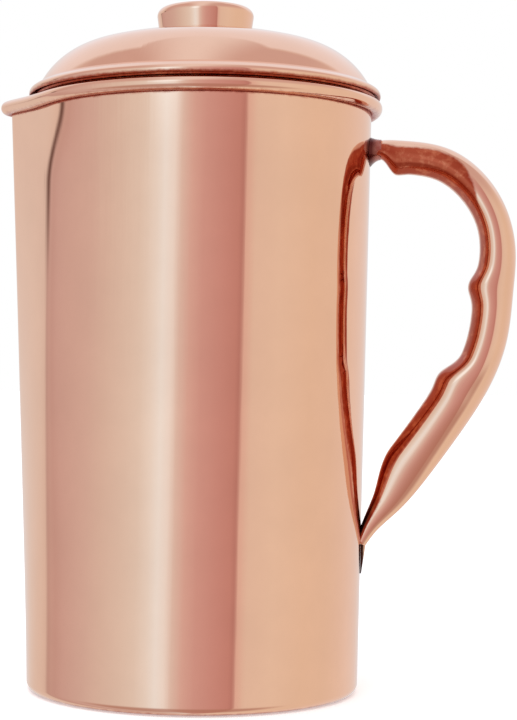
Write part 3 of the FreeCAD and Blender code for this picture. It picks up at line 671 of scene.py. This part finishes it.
def build_lid(material):
    """Spun dome with a sloping flange and a rolled edge."""
    roll_r = LID_EDGE_RADIUS - LID_ROLL
    roll_z = LID_LOW[2] + LID_ROLL
    foot_z = roll_z + LID_FLANGE_DROP
    slope = math.radians(LID_FOOT_SLOPE)
    shoulder = (LID_FOOT_RADIUS - LID_SHOULDER_RADIUS * math.sin(slope),
                foot_z - LID_SHOULDER_RADIUS * math.cos(slope))
    crown_angle = math.asin(shoulder[0] / (LID_CROWN_RADIUS - LID_SHOULDER_RADIUS))
    crown_z = shoulder[1] - (LID_CROWN_RADIUS - LID_SHOULDER_RADIUS) * math.cos(crown_angle)
    join = 90 - math.degrees(crown_angle)
    foot_angle = 90 - LID_FOOT_SLOPE
    run = math.hypot(roll_r - LID_FOOT_RADIUS, LID_FLANGE_DROP)
    aim = math.degrees(math.atan2(-LID_FLANGE_DROP, roll_r - LID_FOOT_RADIUS))
    touch = 180 + aim - math.degrees(math.acos(LID_ROLL / run))
    roll = arc((roll_r, roll_z), LID_ROLL, touch, LID_UNDERCUT_ANGLE, 22)

    def hole_angle(radius):
        return 90 - math.degrees(math.asin(LID_HOLE_RADIUS / radius))

    profile = arc((0, crown_z), LID_CROWN_RADIUS, hole_angle(LID_CROWN_RADIUS), join, 40)
    profile += arc(shoulder, LID_SHOULDER_RADIUS, join, foot_angle, 40)[1:]
    crease = len(profile) - 1
    profile += line(profile[-1], roll[0], 6) + roll[1:]
    lip_row = len(profile) - 1
    for inset, drop, steps in LID_HEM:
        profile += line(profile[-1], (roll_r - inset, roll_z - drop), steps)
    hidden_row = len(profile) - 1
    under = arc(shoulder, LID_SHOULDER_RADIUS - LID_GAUGE, foot_angle, join, 24)
    profile += line(profile[-1], under[0], 5) + under[1:]
    inner_crown = LID_CROWN_RADIUS - LID_GAUGE
    profile += arc((0, crown_z), inner_crown, join, hole_angle(inner_crown), 24)[1:]

    # painted red shade on the lower part of the rolled edge, in the gap over the rim, fading on the
    # hidden underside
    def redness(number, index):
        near_lip = rise(number, lip_row - LID_RED_ROWS, LID_RED_ROWS)
        return LID_RED_SHADE * near_lip * (1 - rise(number, hidden_row, LID_RED_ROWS))

    made = lathe("lid_shell", profile, LEAN, steps=320, sharp=(0, crease, len(profile) - 1),
                 materials=(material,), redness=redness)
    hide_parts("lid_dome")
    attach(made, "lid")


def build_collar(material):
    """Ring under the dome, with an eased lower edge."""
    outer = (COLLAR_HIGH[0] - COLLAR_LOW[0]) / 2
    inner = outer - COLLAR_GAUGE
    low, high = COLLAR_LOW[2], COLLAR_HIGH[2] - COLLAR_TUCK
    round_edge = arc(((outer + inner) / 2, low + COLLAR_GAUGE / 2), COLLAR_GAUGE / 2, -180, 0, 8)
    profile = round_edge + line(round_edge[-1], (outer, high), 8) + [(inner, high)]
    made = lathe("lid_ring", profile, LEAN, materials=(material,),
                 sharp=(len(profile) - 1, len(profile) - 2))
    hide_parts("lid_collar")
    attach(made, "lid")


def build_knob(material):
    """Hollow cap with nearly upright sides and a rounded upper edge."""
    foot, top = KNOB_LOW[2], KNOB_HIGH[2]
    edge_r = KNOB_RADIUS - KNOB_EDGE
    middle = top - KNOB_CROWN_RISE - KNOB_EDGE
    crown = (edge_r ** 2 + KNOB_CROWN_RISE ** 2) / (2 * KNOB_CROWN_RISE)
    crown_join = math.degrees(math.asin(edge_r / crown))
    side = math.degrees(math.atan2(KNOB_TAPER, middle - foot))
    profile = arc((0, top - crown), crown, 90, 90 - crown_join, 24)
    profile += arc((edge_r, middle), KNOB_EDGE, 90 - crown_join, -side, 30)[1:]
    foot_r = profile[-1][0] - (profile[-1][1] - foot) * math.tan(math.radians(side))
    profile += line(profile[-1], (foot_r, foot + KNOB_FOOT_ROUND), 14)
    foot_centre = (foot_r - KNOB_FOOT_ROUND, foot + KNOB_FOOT_ROUND)
    profile += arc(foot_centre, KNOB_FOOT_ROUND, -side, -90, 6)[1:]
    profile += [(foot_r - KNOB_GAUGE, foot)]
    profile += line(profile[-1], (KNOB_RADIUS - KNOB_GAUGE, middle), 6)
    profile += arc((edge_r, middle), KNOB_EDGE - KNOB_GAUGE, 0, 90 - crown_join, 12)[1:]
    profile += arc((0, top - crown), crown - KNOB_GAUGE, 90 - crown_join, 90, 8)[1:]
    made = lathe("lid_knob", profile, LEAN, steps=192, materials=(material,))
    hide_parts("knob_shell")
    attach(made, "lid")


def build_base(material):
    """Base plate with its pressed-up middle inside a flat ring."""
    outer = (PLATE_HIGH[0] - PLATE_LOW[0]) / 2
    low, high = PLATE_LOW[2], PLATE_HIGH[2]
    pressed = high - low - GAUGE
    land = outer - PLATE_LAND
    dish = (land ** 2 + pressed ** 2) / (2 * pressed)
    dish_z = low + pressed - dish
    sweep = math.degrees(math.asin(land / dish))
    profile = arc((0, dish_z), dish, 90, 90 - sweep, 24)
    profile += line(profile[-1], (outer - PLATE_EDGE, low), 6)
    profile += [(outer, low + PLATE_EDGE), (outer, low + GAUGE)]
    profile += line(profile[-1], (land, low + GAUGE), 6)
    profile += arc((0, dish_z + GAUGE), dish, 90 - sweep, 90, 24)[1:]
    made = lathe("jug_floor", profile, 0.0, materials=(material,))
    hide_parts("base_plate")
    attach(made, "jug")


# ---------------------------------------------------------------- materials

class Nodes:
    """A metal's node tree, with short calls for the nodes that repeat."""

    def __init__(self, name):
        self.material = bpy.data.materials.new(name)
        self.material.use_nodes = True
        self.tree = self.material.node_tree
        self.shader = self.tree.nodes["Principled BSDF"]
        self.shader.inputs["Metallic"].default_value = 1.0
        self.place = self.tree.nodes.new("ShaderNodeTexCoord").outputs["Object"]

    def link(self, source, target):
        """Join an output to an input."""
        self.tree.links.new(source, target)

    def math(self, kind, first, second=None):
        """Math node on outputs or plain numbers."""
        node = self.tree.nodes.new("ShaderNodeMath")
        node.operation = kind
        for index, value in enumerate((first, second)):
            if value is None:
                continue
            if isinstance(value, (int, float)):
                node.inputs[index].default_value = value
            else:
                self.link(value, node.inputs[index])
        return node.outputs[0]

    def around(self, centre_x=0.0):
        """Coordinates wrapped round an upright axis: angle, height and radius."""
        split = self.tree.nodes.new("ShaderNodeSeparateXYZ")
        self.link(self.place, split.inputs[0])
        x, y = self.math("SUBTRACT", split.outputs["X"], centre_x), split.outputs["Y"]
        squares = self.math("ADD", self.math("MULTIPLY", x, x), self.math("MULTIPLY", y, y))
        return self.math("ARCTAN2", y, x), split.outputs["Z"], self.math("POWER", squares, 0.5)

    def vector(self, x, y, z):
        """Vector from three outputs or numbers."""
        node = self.tree.nodes.new("ShaderNodeCombineXYZ")
        for index, value in enumerate((x, y, z)):
            if isinstance(value, (int, float)):
                node.inputs[index].default_value = value
            else:
                self.link(value, node.inputs[index])
        return node.outputs[0]

    def noise(self, vector, scale, detail=2.0, rough=0.5):
        """Noise value from 0 to 1."""
        node = self.tree.nodes.new("ShaderNodeTexNoise")
        node.inputs["Scale"].default_value = scale
        node.inputs["Detail"].default_value = detail
        node.inputs["Roughness"].default_value = rough
        self.link(vector, node.inputs["Vector"])
        return node.outputs[0]

    def spread(self, value, low, high, to_low=0.0, to_high=1.0):
        """Map a value from one range to another, held at its ends."""
        node = self.tree.nodes.new("ShaderNodeMapRange")
        for index, number in enumerate((low, high, to_low, to_high)):
            node.inputs[index + 1].default_value = number
        self.link(value, node.inputs[0])
        return node.outputs[0]

    def blend(self, factor, first, second):
        """Mix of two colours, each a plain one or an output."""
        node = self.tree.nodes.new("ShaderNodeMix")
        node.data_type = "RGBA"
        self.link(factor, node.inputs[MIX_FACTOR])
        for index, colour in ((MIX_FIRST, first), (MIX_SECOND, second)):
            if isinstance(colour, tuple):
                node.inputs[index].default_value = (*colour, 1)
            else:
                self.link(colour, node.inputs[index])
        return node.outputs[MIX_RESULT]

    def red_shaded(self, colour):
        """A colour turned to painted red shade and reflection where the mesh's attribute asks for it,
        with a ragged edge, and to near-black painted crevice shade above 1; also how far.
        """
        zone = self.tree.nodes.new("ShaderNodeAttribute")
        zone.attribute_name = "redness"
        red = zone.outputs["Fac"]
        noise = self.math("SUBTRACT", self.noise(self.place, RAGGED_SCALE, 4.0, 0.7), 0.5)
        ragged = self.math("MULTIPLY", noise, RAGGED_AMOUNT)
        held = self.math("MULTIPLY", ragged, self.spread(red, 0.0, 0.2))
        amount = self.spread(self.math("ADD", red, held), 0.15, 0.85)
        mottle = self.spread(self.noise(self.place, MOTTLE_SCALE, 3.0, 0.6), 0.50, 0.74)
        reddened = self.blend(amount, colour, self.blend(mottle, PAINTED_RED_REFLECTION, PAINTED_ORANGE_REFLECTION))
        return self.blend(self.spread(red, 1.0, 2.0), reddened, CREVICE_SHADE), amount

    def bump(self, height, depth):
        """Bump of a given depth in metres."""
        node = self.tree.nodes.new("ShaderNodeBump")
        node.inputs["Distance"].default_value = depth
        node.inputs["Strength"].default_value = 1.0
        self.link(height, node.inputs["Height"])
        self.link(node.outputs[0], self.shader.inputs["Normal"])


def tint(colour, factor):
    """A colour made lighter or darker."""
    return tuple(min(value * factor, 1.0) for value in colour)


def polished_copper(name, colour=COPPER, wave=0.00002, streak=0.00001, centre_x=0.0, dull=0.28):
    """Mirror-polished sheet with faint forming marks, hazy patches and the mesh's painted red shade and
    reflection.

    wave and streak are depths in metres; dull is how much rougher the reddened metal is.
    """
    nodes = Nodes(name)
    angle, height, _ = nodes.around(centre_x)
    turned = nodes.vector(nodes.math("MULTIPLY", angle, ARC_PER_RADIAN),
                          nodes.math("MULTIPLY", height, STREAK_STRETCH), 0.0)
    streaks = nodes.noise(turned, STREAK_SCALE, 3.0, 0.6)
    waves = nodes.noise(nodes.place, WAVE_SCALE, 1.0, 0.4)
    haze = nodes.noise(nodes.place, HAZE_SCALE, 4.0, 0.6)
    clean = nodes.blend(nodes.spread(haze, 0.3, 0.7), tint(colour, 0.97), tint(colour, 1.02))
    shade, amount = nodes.red_shaded(clean)
    nodes.link(shade, nodes.shader.inputs["Base Color"])
    rough = nodes.math("ADD", nodes.spread(haze, 0.35, 0.75, *POLISHED_ROUGHNESS),
                       nodes.math("MULTIPLY", amount, dull))
    nodes.link(rough, nodes.shader.inputs["Roughness"])
    away = nodes.math("ABSOLUTE", nodes.math("SUBTRACT", angle, STREAK_ANGLE))
    marked = nodes.math("MULTIPLY", nodes.spread(away, *STREAK_SIDES, 1.0, 0.0),
                        nodes.spread(height, *STREAK_HEIGHTS))
    streak_share = streak / BUMP_UNIT
    strength = nodes.spread(marked, 0.0, 1.0, streak_share, STREAKS_AT_TOP * streak_share)
    total = nodes.math("ADD", nodes.math("MULTIPLY", streaks, strength),
                       nodes.math("MULTIPLY", waves, wave / BUMP_UNIT))
    nodes.bump(total, BUMP_UNIT)
    return nodes.material


def satin_copper(name, colour, centre_x=0.0, rough=SATIN_ROUGHNESS):
    """Satin copper with fine turning marks and the mesh's painted red shade."""
    nodes = Nodes(name)
    angle, height, radius = nodes.around(centre_x)
    marks = nodes.vector(nodes.math("MULTIPLY", angle, SATIN_LINE_STRETCH), radius, height)
    lines = nodes.noise(marks, SATIN_LINE_SCALE, 2.0, 0.6)
    haze = nodes.noise(nodes.place, SATIN_HAZE_SCALE, 4.0, 0.6)
    clean = nodes.blend(nodes.spread(haze, 0.3, 0.7), tint(colour, 0.92), tint(colour, 1.04))
    nodes.link(nodes.red_shaded(clean)[0], nodes.shader.inputs["Base Color"])
    nodes.link(nodes.spread(lines, 0.3, 0.7, *rough), nodes.shader.inputs["Roughness"])
    nodes.bump(lines, SATIN_LINE_DEPTH)
    return nodes.material


def turned_metal(name, colour, centre_x=0.0):
    """Small turned part: rings from the tool."""
    nodes = Nodes(name)
    angle, height, radius = nodes.around(centre_x)
    marks = nodes.vector(nodes.math("MULTIPLY", angle, TURNED_LINE_STRETCH), radius, height)
    rings = nodes.noise(marks, TURNED_LINE_SCALE, 2.0)
    shade = nodes.blend(rings, tint(colour, 0.9), tint(colour, 1.06))
    nodes.link(shade, nodes.shader.inputs["Base Color"])
    nodes.link(nodes.spread(rings, 0.3, 0.7, *TURNED_ROUGHNESS), nodes.shader.inputs["Roughness"])
    nodes.bump(rings, TURNED_LINE_DEPTH)
    return nodes.material


def crease_shaded_copper(name, crease_shade, colour, low, high):
    """Copper with painted shade in the crease beside the wall, which takes its colour between two
    distances from it.
    """
    nodes = Nodes(name)
    nodes.shader.inputs["Roughness"].default_value = CREASE_ROUGHNESS
    split = nodes.tree.nodes.new("ShaderNodeSeparateXYZ")
    nodes.link(nodes.place, split.inputs[0])
    lean = (MOUTH_RADIUS - BASE_RADIUS + LEAN) / RIM_HEIGHT
    face = nodes.math("ADD", nodes.math("MULTIPLY", split.outputs["Z"], lean), BASE_RADIUS * MM)
    out = nodes.math("SUBTRACT", split.outputs["X"], face)
    noise = nodes.noise(nodes.place, CREASE_SCALE, 3.0, 0.6)
    ragged = nodes.math("MULTIPLY", noise, CREASE_RAGGED)
    clean = nodes.spread(nodes.math("SUBTRACT", out, ragged), low, high)
    nodes.link(nodes.blend(clean, crease_shade, colour), nodes.shader.inputs["Base Color"])
    return nodes.material


def dress(node, material):
    """Give a CAD node its material."""
    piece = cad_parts[node]
    for slot in piece.material_slots:
        slot.material = material
    if not piece.material_slots:
        piece.data.materials.append(material)


# ---------------------------------------------------------------- studio

def shown(light):
    """A light of the studio as a share of its peak, which the world's strength makes up for."""
    return (*[value / STUDIO_PEAK for value in light], 1)


class Tent:
    """The world's node tree, with short calls for the nodes that repeat."""

    def __init__(self, name):
        world = bpy.data.worlds.new(name)
        bpy.context.scene.world = world
        world.use_nodes = True
        self.tree = world.node_tree
        self.tree.nodes.clear()

    def node(self, kind, **settings):
        """New node with its settings."""
        made = self.tree.nodes.new(kind)
        for key, value in settings.items():
            setattr(made, key, value)
        return made

    def link(self, source, target):
        """Join an output to an input."""
        self.tree.links.new(source, target)

    def calc(self, kind, first, second=None):
        """Math node on outputs or plain numbers."""
        made = self.node("ShaderNodeMath", operation=kind)
        for index, value in enumerate((first, second)):
            if isinstance(value, (int, float)):
                made.inputs[index].default_value = value
            elif value is not None:
                self.link(value, made.inputs[index])
        return made.outputs[0]

    def times(self, first, second):
        """Product of two outputs or numbers."""
        return self.calc("MULTIPLY", first, second)

    def remap(self, value, low, high, to_low=0.0, to_high=1.0):
        """Smooth map of a value from one range to another."""
        made = self.node("ShaderNodeMapRange", interpolation_type="SMOOTHSTEP")
        for index, number in enumerate((low, high, to_low, to_high)):
            made.inputs[index + 1].default_value = number
        self.link(value, made.inputs[0])
        return made.outputs[0]

    def near(self, bearing, centre, reach):
        """1 at a bearing, easing to 0 at a reach, both in degrees."""
        away = self.calc("ABSOLUTE", self.calc("SUBTRACT", bearing, math.radians(centre)))
        return self.remap(away, 0.0, math.radians(reach), 1.0, 0.0)

    def mix(self, factor, first, second):
        """Mix of two colours, each a plain one or an output."""
        made = self.node("ShaderNodeMix", data_type="RGBA")
        self.link(factor, made.inputs[MIX_FACTOR])
        for index, value in ((MIX_FIRST, first), (MIX_SECOND, second)):
            if isinstance(value, tuple):
                made.inputs[index].default_value = value
            else:
                self.link(value, made.inputs[index])
        return made.outputs[MIX_RESULT]

    def direction(self):
        """Direction in the studio: towards its front, to the side and up."""
        coord = self.node("ShaderNodeTexCoord")
        turn = self.node("ShaderNodeMapping")
        turn.inputs["Rotation"].default_value[2] = math.radians(90 - CAMERA_AZIMUTH - TENT_TURN)
        self.link(coord.outputs["Generated"], turn.inputs["Vector"])
        split = self.node("ShaderNodeSeparateXYZ")
        self.link(turn.outputs[0], split.inputs[0])
        return split.outputs["X"], split.outputs["Y"], split.outputs["Z"]

    def bands(self, bearing):
        """The upright bands of the studio, round the whole turn."""
        bands = self.node("ShaderNodeValToRGB")
        stops = bands.color_ramp.elements
        while len(stops) > 1:
            stops.remove(stops[-1])
        for index, (degrees, light) in enumerate(STUDIO):
            place = (degrees + 180) / 360
            stop = stops[0] if index == 0 else stops.new(place)
            stop.position = place
            stop.color = shown(light)
        share = self.calc("ADD", self.calc("DIVIDE", bearing, 2 * math.pi), 0.5)
        self.link(share, bands.inputs[0])
        return bands.outputs[0]


def build_world():
    """Bright tent with a few darker gaps, seen as plain white by the camera."""
    tent = Tent("studio")
    front, side, up = tent.direction()
    bearing = tent.calc("ARCTAN2", side, front)

    # the bands sway near the dark gap, so that it bends like the seam of a tent
    lean = tent.calc("SUBTRACT", tent.remap(up, *GAP_BEND_HEIGHTS, 0.0, GAP_BEND),
                     tent.remap(up, *GAP_LEAN_HEIGHTS, 0.0, GAP_LEAN))
    sway = tent.times(lean, tent.near(bearing, GAP_BEARING, GAP_SWAY_REACH))
    bent = tent.calc("SUBTRACT", bearing, sway)
    walls = tent.bands(bent)

    # 1 where the ceiling hangs low in front, 0 behind
    spread = tent.times(tent.calc("ABSOLUTE", side), CEILING_SPREAD)
    sideways = tent.calc("ADD", spread, tent.times(side, CEILING_TURN))
    lowered = tent.times(tent.calc("SUBTRACT", CEILING_DROOP_TOP, up), CEILING_DROOP)
    reach = tent.calc("ADD", tent.calc("ADD", front, sideways), lowered)
    facing = tent.remap(reach, *CEILING_EDGE)
    away = tent.calc("SUBTRACT", 1.0, facing)

    gap_depth = tent.times(tent.remap(up, *GAP_FOOT, GAP_FAINT, GAP_DEPTH),
                           tent.remap(up, *GAP_HEAD, 1.0, 0.0))
    gap = tent.times(tent.near(bent, GAP_BEARING, GAP_REACH), gap_depth)
    walls = tent.mix(gap, walls, shown(GAP_LIGHT))
    behind = tent.times(tent.remap(up, *BEHIND_FOOT), away)
    walls = tent.mix(behind, walls, shown(BEHIND_LIGHT))
    lamp_height = tent.times(tent.remap(up, *LAMP_FOOT), tent.remap(up, *LAMP_HEAD, LAMP_SHARE, 0.0))
    lamp = tent.times(tent.near(bearing, LAMP_BEARING, LAMP_REACH), lamp_height)
    walls = tent.mix(lamp, walls, shown(LAMP_LIGHT))

    from_middle = tent.calc("ABSOLUTE", tent.calc("ADD", side, CEILING_MIDDLE_SHIFT))
    middle = tent.remap(from_middle, *CEILING_MIDDLE_EDGE, 1.0, 0.0)
    ceiling = tent.mix(middle, shown(CEILING_LIGHT), shown(CEILING_MIDDLE_LIGHT))
    upper = tent.calc("ADD", tent.times(tent.remap(up, *CEILING_FRONT), facing),
                      tent.times(tent.remap(up, *CEILING_BACK), away))
    light = tent.mix(upper, walls, ceiling)
    ground = tent.times(tent.remap(up, *GROUND_HEAD, GROUND_SHARE, 0.0),
                        tent.remap(front, *GROUND_FRONT))
    light = tent.mix(ground, light, shown(GROUND_LIGHT))

    studio = tent.node("ShaderNodeBackground")
    studio.inputs["Strength"].default_value = STUDIO_PEAK
    tent.link(light, studio.inputs["Color"])
    plain = tent.node("ShaderNodeBackground")
    plain.inputs["Color"].default_value = (1, 1, 1, 1)
    path = tent.node("ShaderNodeLightPath")
    choose = tent.node("ShaderNodeMixShader")
    tent.link(path.outputs["Is Camera Ray"], choose.inputs[0])
    tent.link(studio.outputs[0], choose.inputs[1])
    tent.link(plain.outputs[0], choose.inputs[2])
    out = tent.node("ShaderNodeOutputWorld")
    tent.link(choose.outputs[0], out.inputs["Surface"])


def build_floor():
    """Plain white floor that keeps the jug's soft shadow and is open from below."""
    mesh = bmesh.new()
    bmesh.ops.create_grid(mesh, x_segments=8, y_segments=8, size=FLOOR_HALF_SIZE)
    data = bpy.data.meshes.new("floor")
    mesh.to_mesh(data)
    mesh.free()
    floor = object_from("floor", data)
    floor.location.z = -FLOOR_DROP
    material = bpy.data.materials.new("floor_white")
    material.use_nodes = True
    tree = material.node_tree
    shader = tree.nodes["Principled BSDF"]
    shader.inputs["Base Color"].default_value = (FLOOR_SHADE, FLOOR_SHADE, FLOOR_SHADE, 1)
    shader.inputs["Roughness"].default_value = 0.9
    shader.inputs["Specular IOR Level"].default_value = 0.1
    shader.inputs["Emission Color"].default_value = (1, 1, 1, 1)
    path = tree.nodes.new("ShaderNodeLightPath")
    glow = tree.nodes.new("ShaderNodeMath")
    glow.operation = "MULTIPLY"
    glow.inputs[1].default_value = FLOOR_GLOW
    tree.links.new(path.outputs["Is Camera Ray"], glow.inputs[0])
    tree.links.new(glow.outputs[0], shader.inputs["Emission Strength"])
    clear = tree.nodes.new("ShaderNodeBsdfTransparent")
    side = tree.nodes.new("ShaderNodeNewGeometry")
    choose = tree.nodes.new("ShaderNodeMixShader")
    hidden = tree.nodes.new("ShaderNodeMath")
    hidden.operation = "MAXIMUM"
    tree.links.new(side.outputs["Backfacing"], hidden.inputs[0])
    tree.links.new(path.outputs["Is Glossy Ray"], hidden.inputs[1])
    tree.links.new(hidden.outputs[0], choose.inputs[0])
    tree.links.new(shader.outputs[0], choose.inputs[1])
    tree.links.new(clear.outputs[0], choose.inputs[2])
    tree.links.new(choose.outputs[0], tree.nodes["Material Output"].inputs["Surface"])
    data.materials.append(material)


def build_lamp():
    """Large soft lamp overhead, which the metal doesn't mirror."""
    lamp = bpy.data.lights.new("overhead", "AREA")
    lamp.shape = "RECTANGLE"
    lamp.size, lamp.size_y = OVERHEAD_SIZE
    lamp.energy = OVERHEAD_POWER
    made = object_from("overhead", lamp)
    made.location = OVERHEAD_PLACE
    aim = Vector(OVERHEAD_AIM) - Vector(OVERHEAD_PLACE)
    made.rotation_euler = aim.to_track_quat("-Z", "Y").to_euler()
    made.visible_glossy = False
    made.visible_camera = False


def build_camera():
    """Level camera in front, a little to the handle's side."""
    turn = math.radians(CAMERA_AZIMUTH)
    camera = bpy.data.cameras.new("camera")
    camera.sensor_fit = "VERTICAL"
    camera.sensor_height = SENSOR_MM
    camera.lens = SENSOR_MM * CAMERA_FOCAL_SHARE
    camera.clip_start = CLIP_START
    camera.shift_x = CAMERA_SHIFT_X
    camera.shift_y = CAMERA_SHIFT_Y
    made = object_from("camera", camera)
    place = (CAMERA_DISTANCE * math.sin(turn), -CAMERA_DISTANCE * math.cos(turn), CAMERA_HEIGHT)
    made.matrix_world = (
        Matrix.Translation(place)
        @ Matrix.Rotation(turn, 4, "Z") @ Matrix.Rotation(math.radians(90), 4, "X")
        @ Matrix.Rotation(math.radians(CAMERA_ROLL), 4, "Z")
    )
    bpy.context.scene.camera = made


# ---------------------------------------------------------------- the scene

scene = bpy.context.scene
scene.view_settings.view_transform = "Standard"
scene.cycles.glossy_bounces = BOUNCES
scene.cycles.max_bounces = BOUNCES

build_camera()
build_world()
build_floor()
build_lamp()

MOUTH_AXIS = LEAN * MM
build_wall(polished_copper("copper_wall_polished", streak=0.000012, wave=0.00004),
           satin_copper("copper_wall_inside", tint(COPPER, 0.95), rough=INSIDE_ROUGHNESS))
build_handle(polished_copper("copper_handle_polished", tint(COPPER, 0.99), wave=0.00006,
                             streak=0.0, dull=0.05))
build_lid(polished_copper("copper_lid_polished", streak=0.000004, centre_x=MOUTH_AXIS))
# the collar's darker red is painted shade
build_collar(satin_copper("copper_collar_satin", COLLAR_COPPER_SHADED, MOUTH_AXIS))
build_knob(polished_copper("copper_knob_polished", streak=0.0, wave=0.00003, centre_x=MOUTH_AXIS))
build_base(satin_copper("copper_base_satin", tint(COPPER, 0.93)))

# both brazes carry painted shade in the crease beside the wall
dress("handle_braze_upper",
      crease_shaded_copper("braze_upper_crease_shade", BRAZE_CREASE_SHADE, BRAZE, *UPPER_BRAZE_DARK))
dress("handle_braze_lower",
      crease_shaded_copper("braze_lower_crease_shade", CREVICE_SHADE, tint(COPPER, 0.85), *LOWER_BRAZE_DARK))
dress("rim_wire", turned_metal("steel_wire_drawn", WIRE_STEEL))
dress("knob_insert", turned_metal("brass_turned", TURNED_BRASS, MOUTH_AXIS))
steel = turned_metal("steel_turned", TURNED_STEEL, MOUTH_AXIS)
dress("knob_washer", steel)
dress("knob_screw", steel)
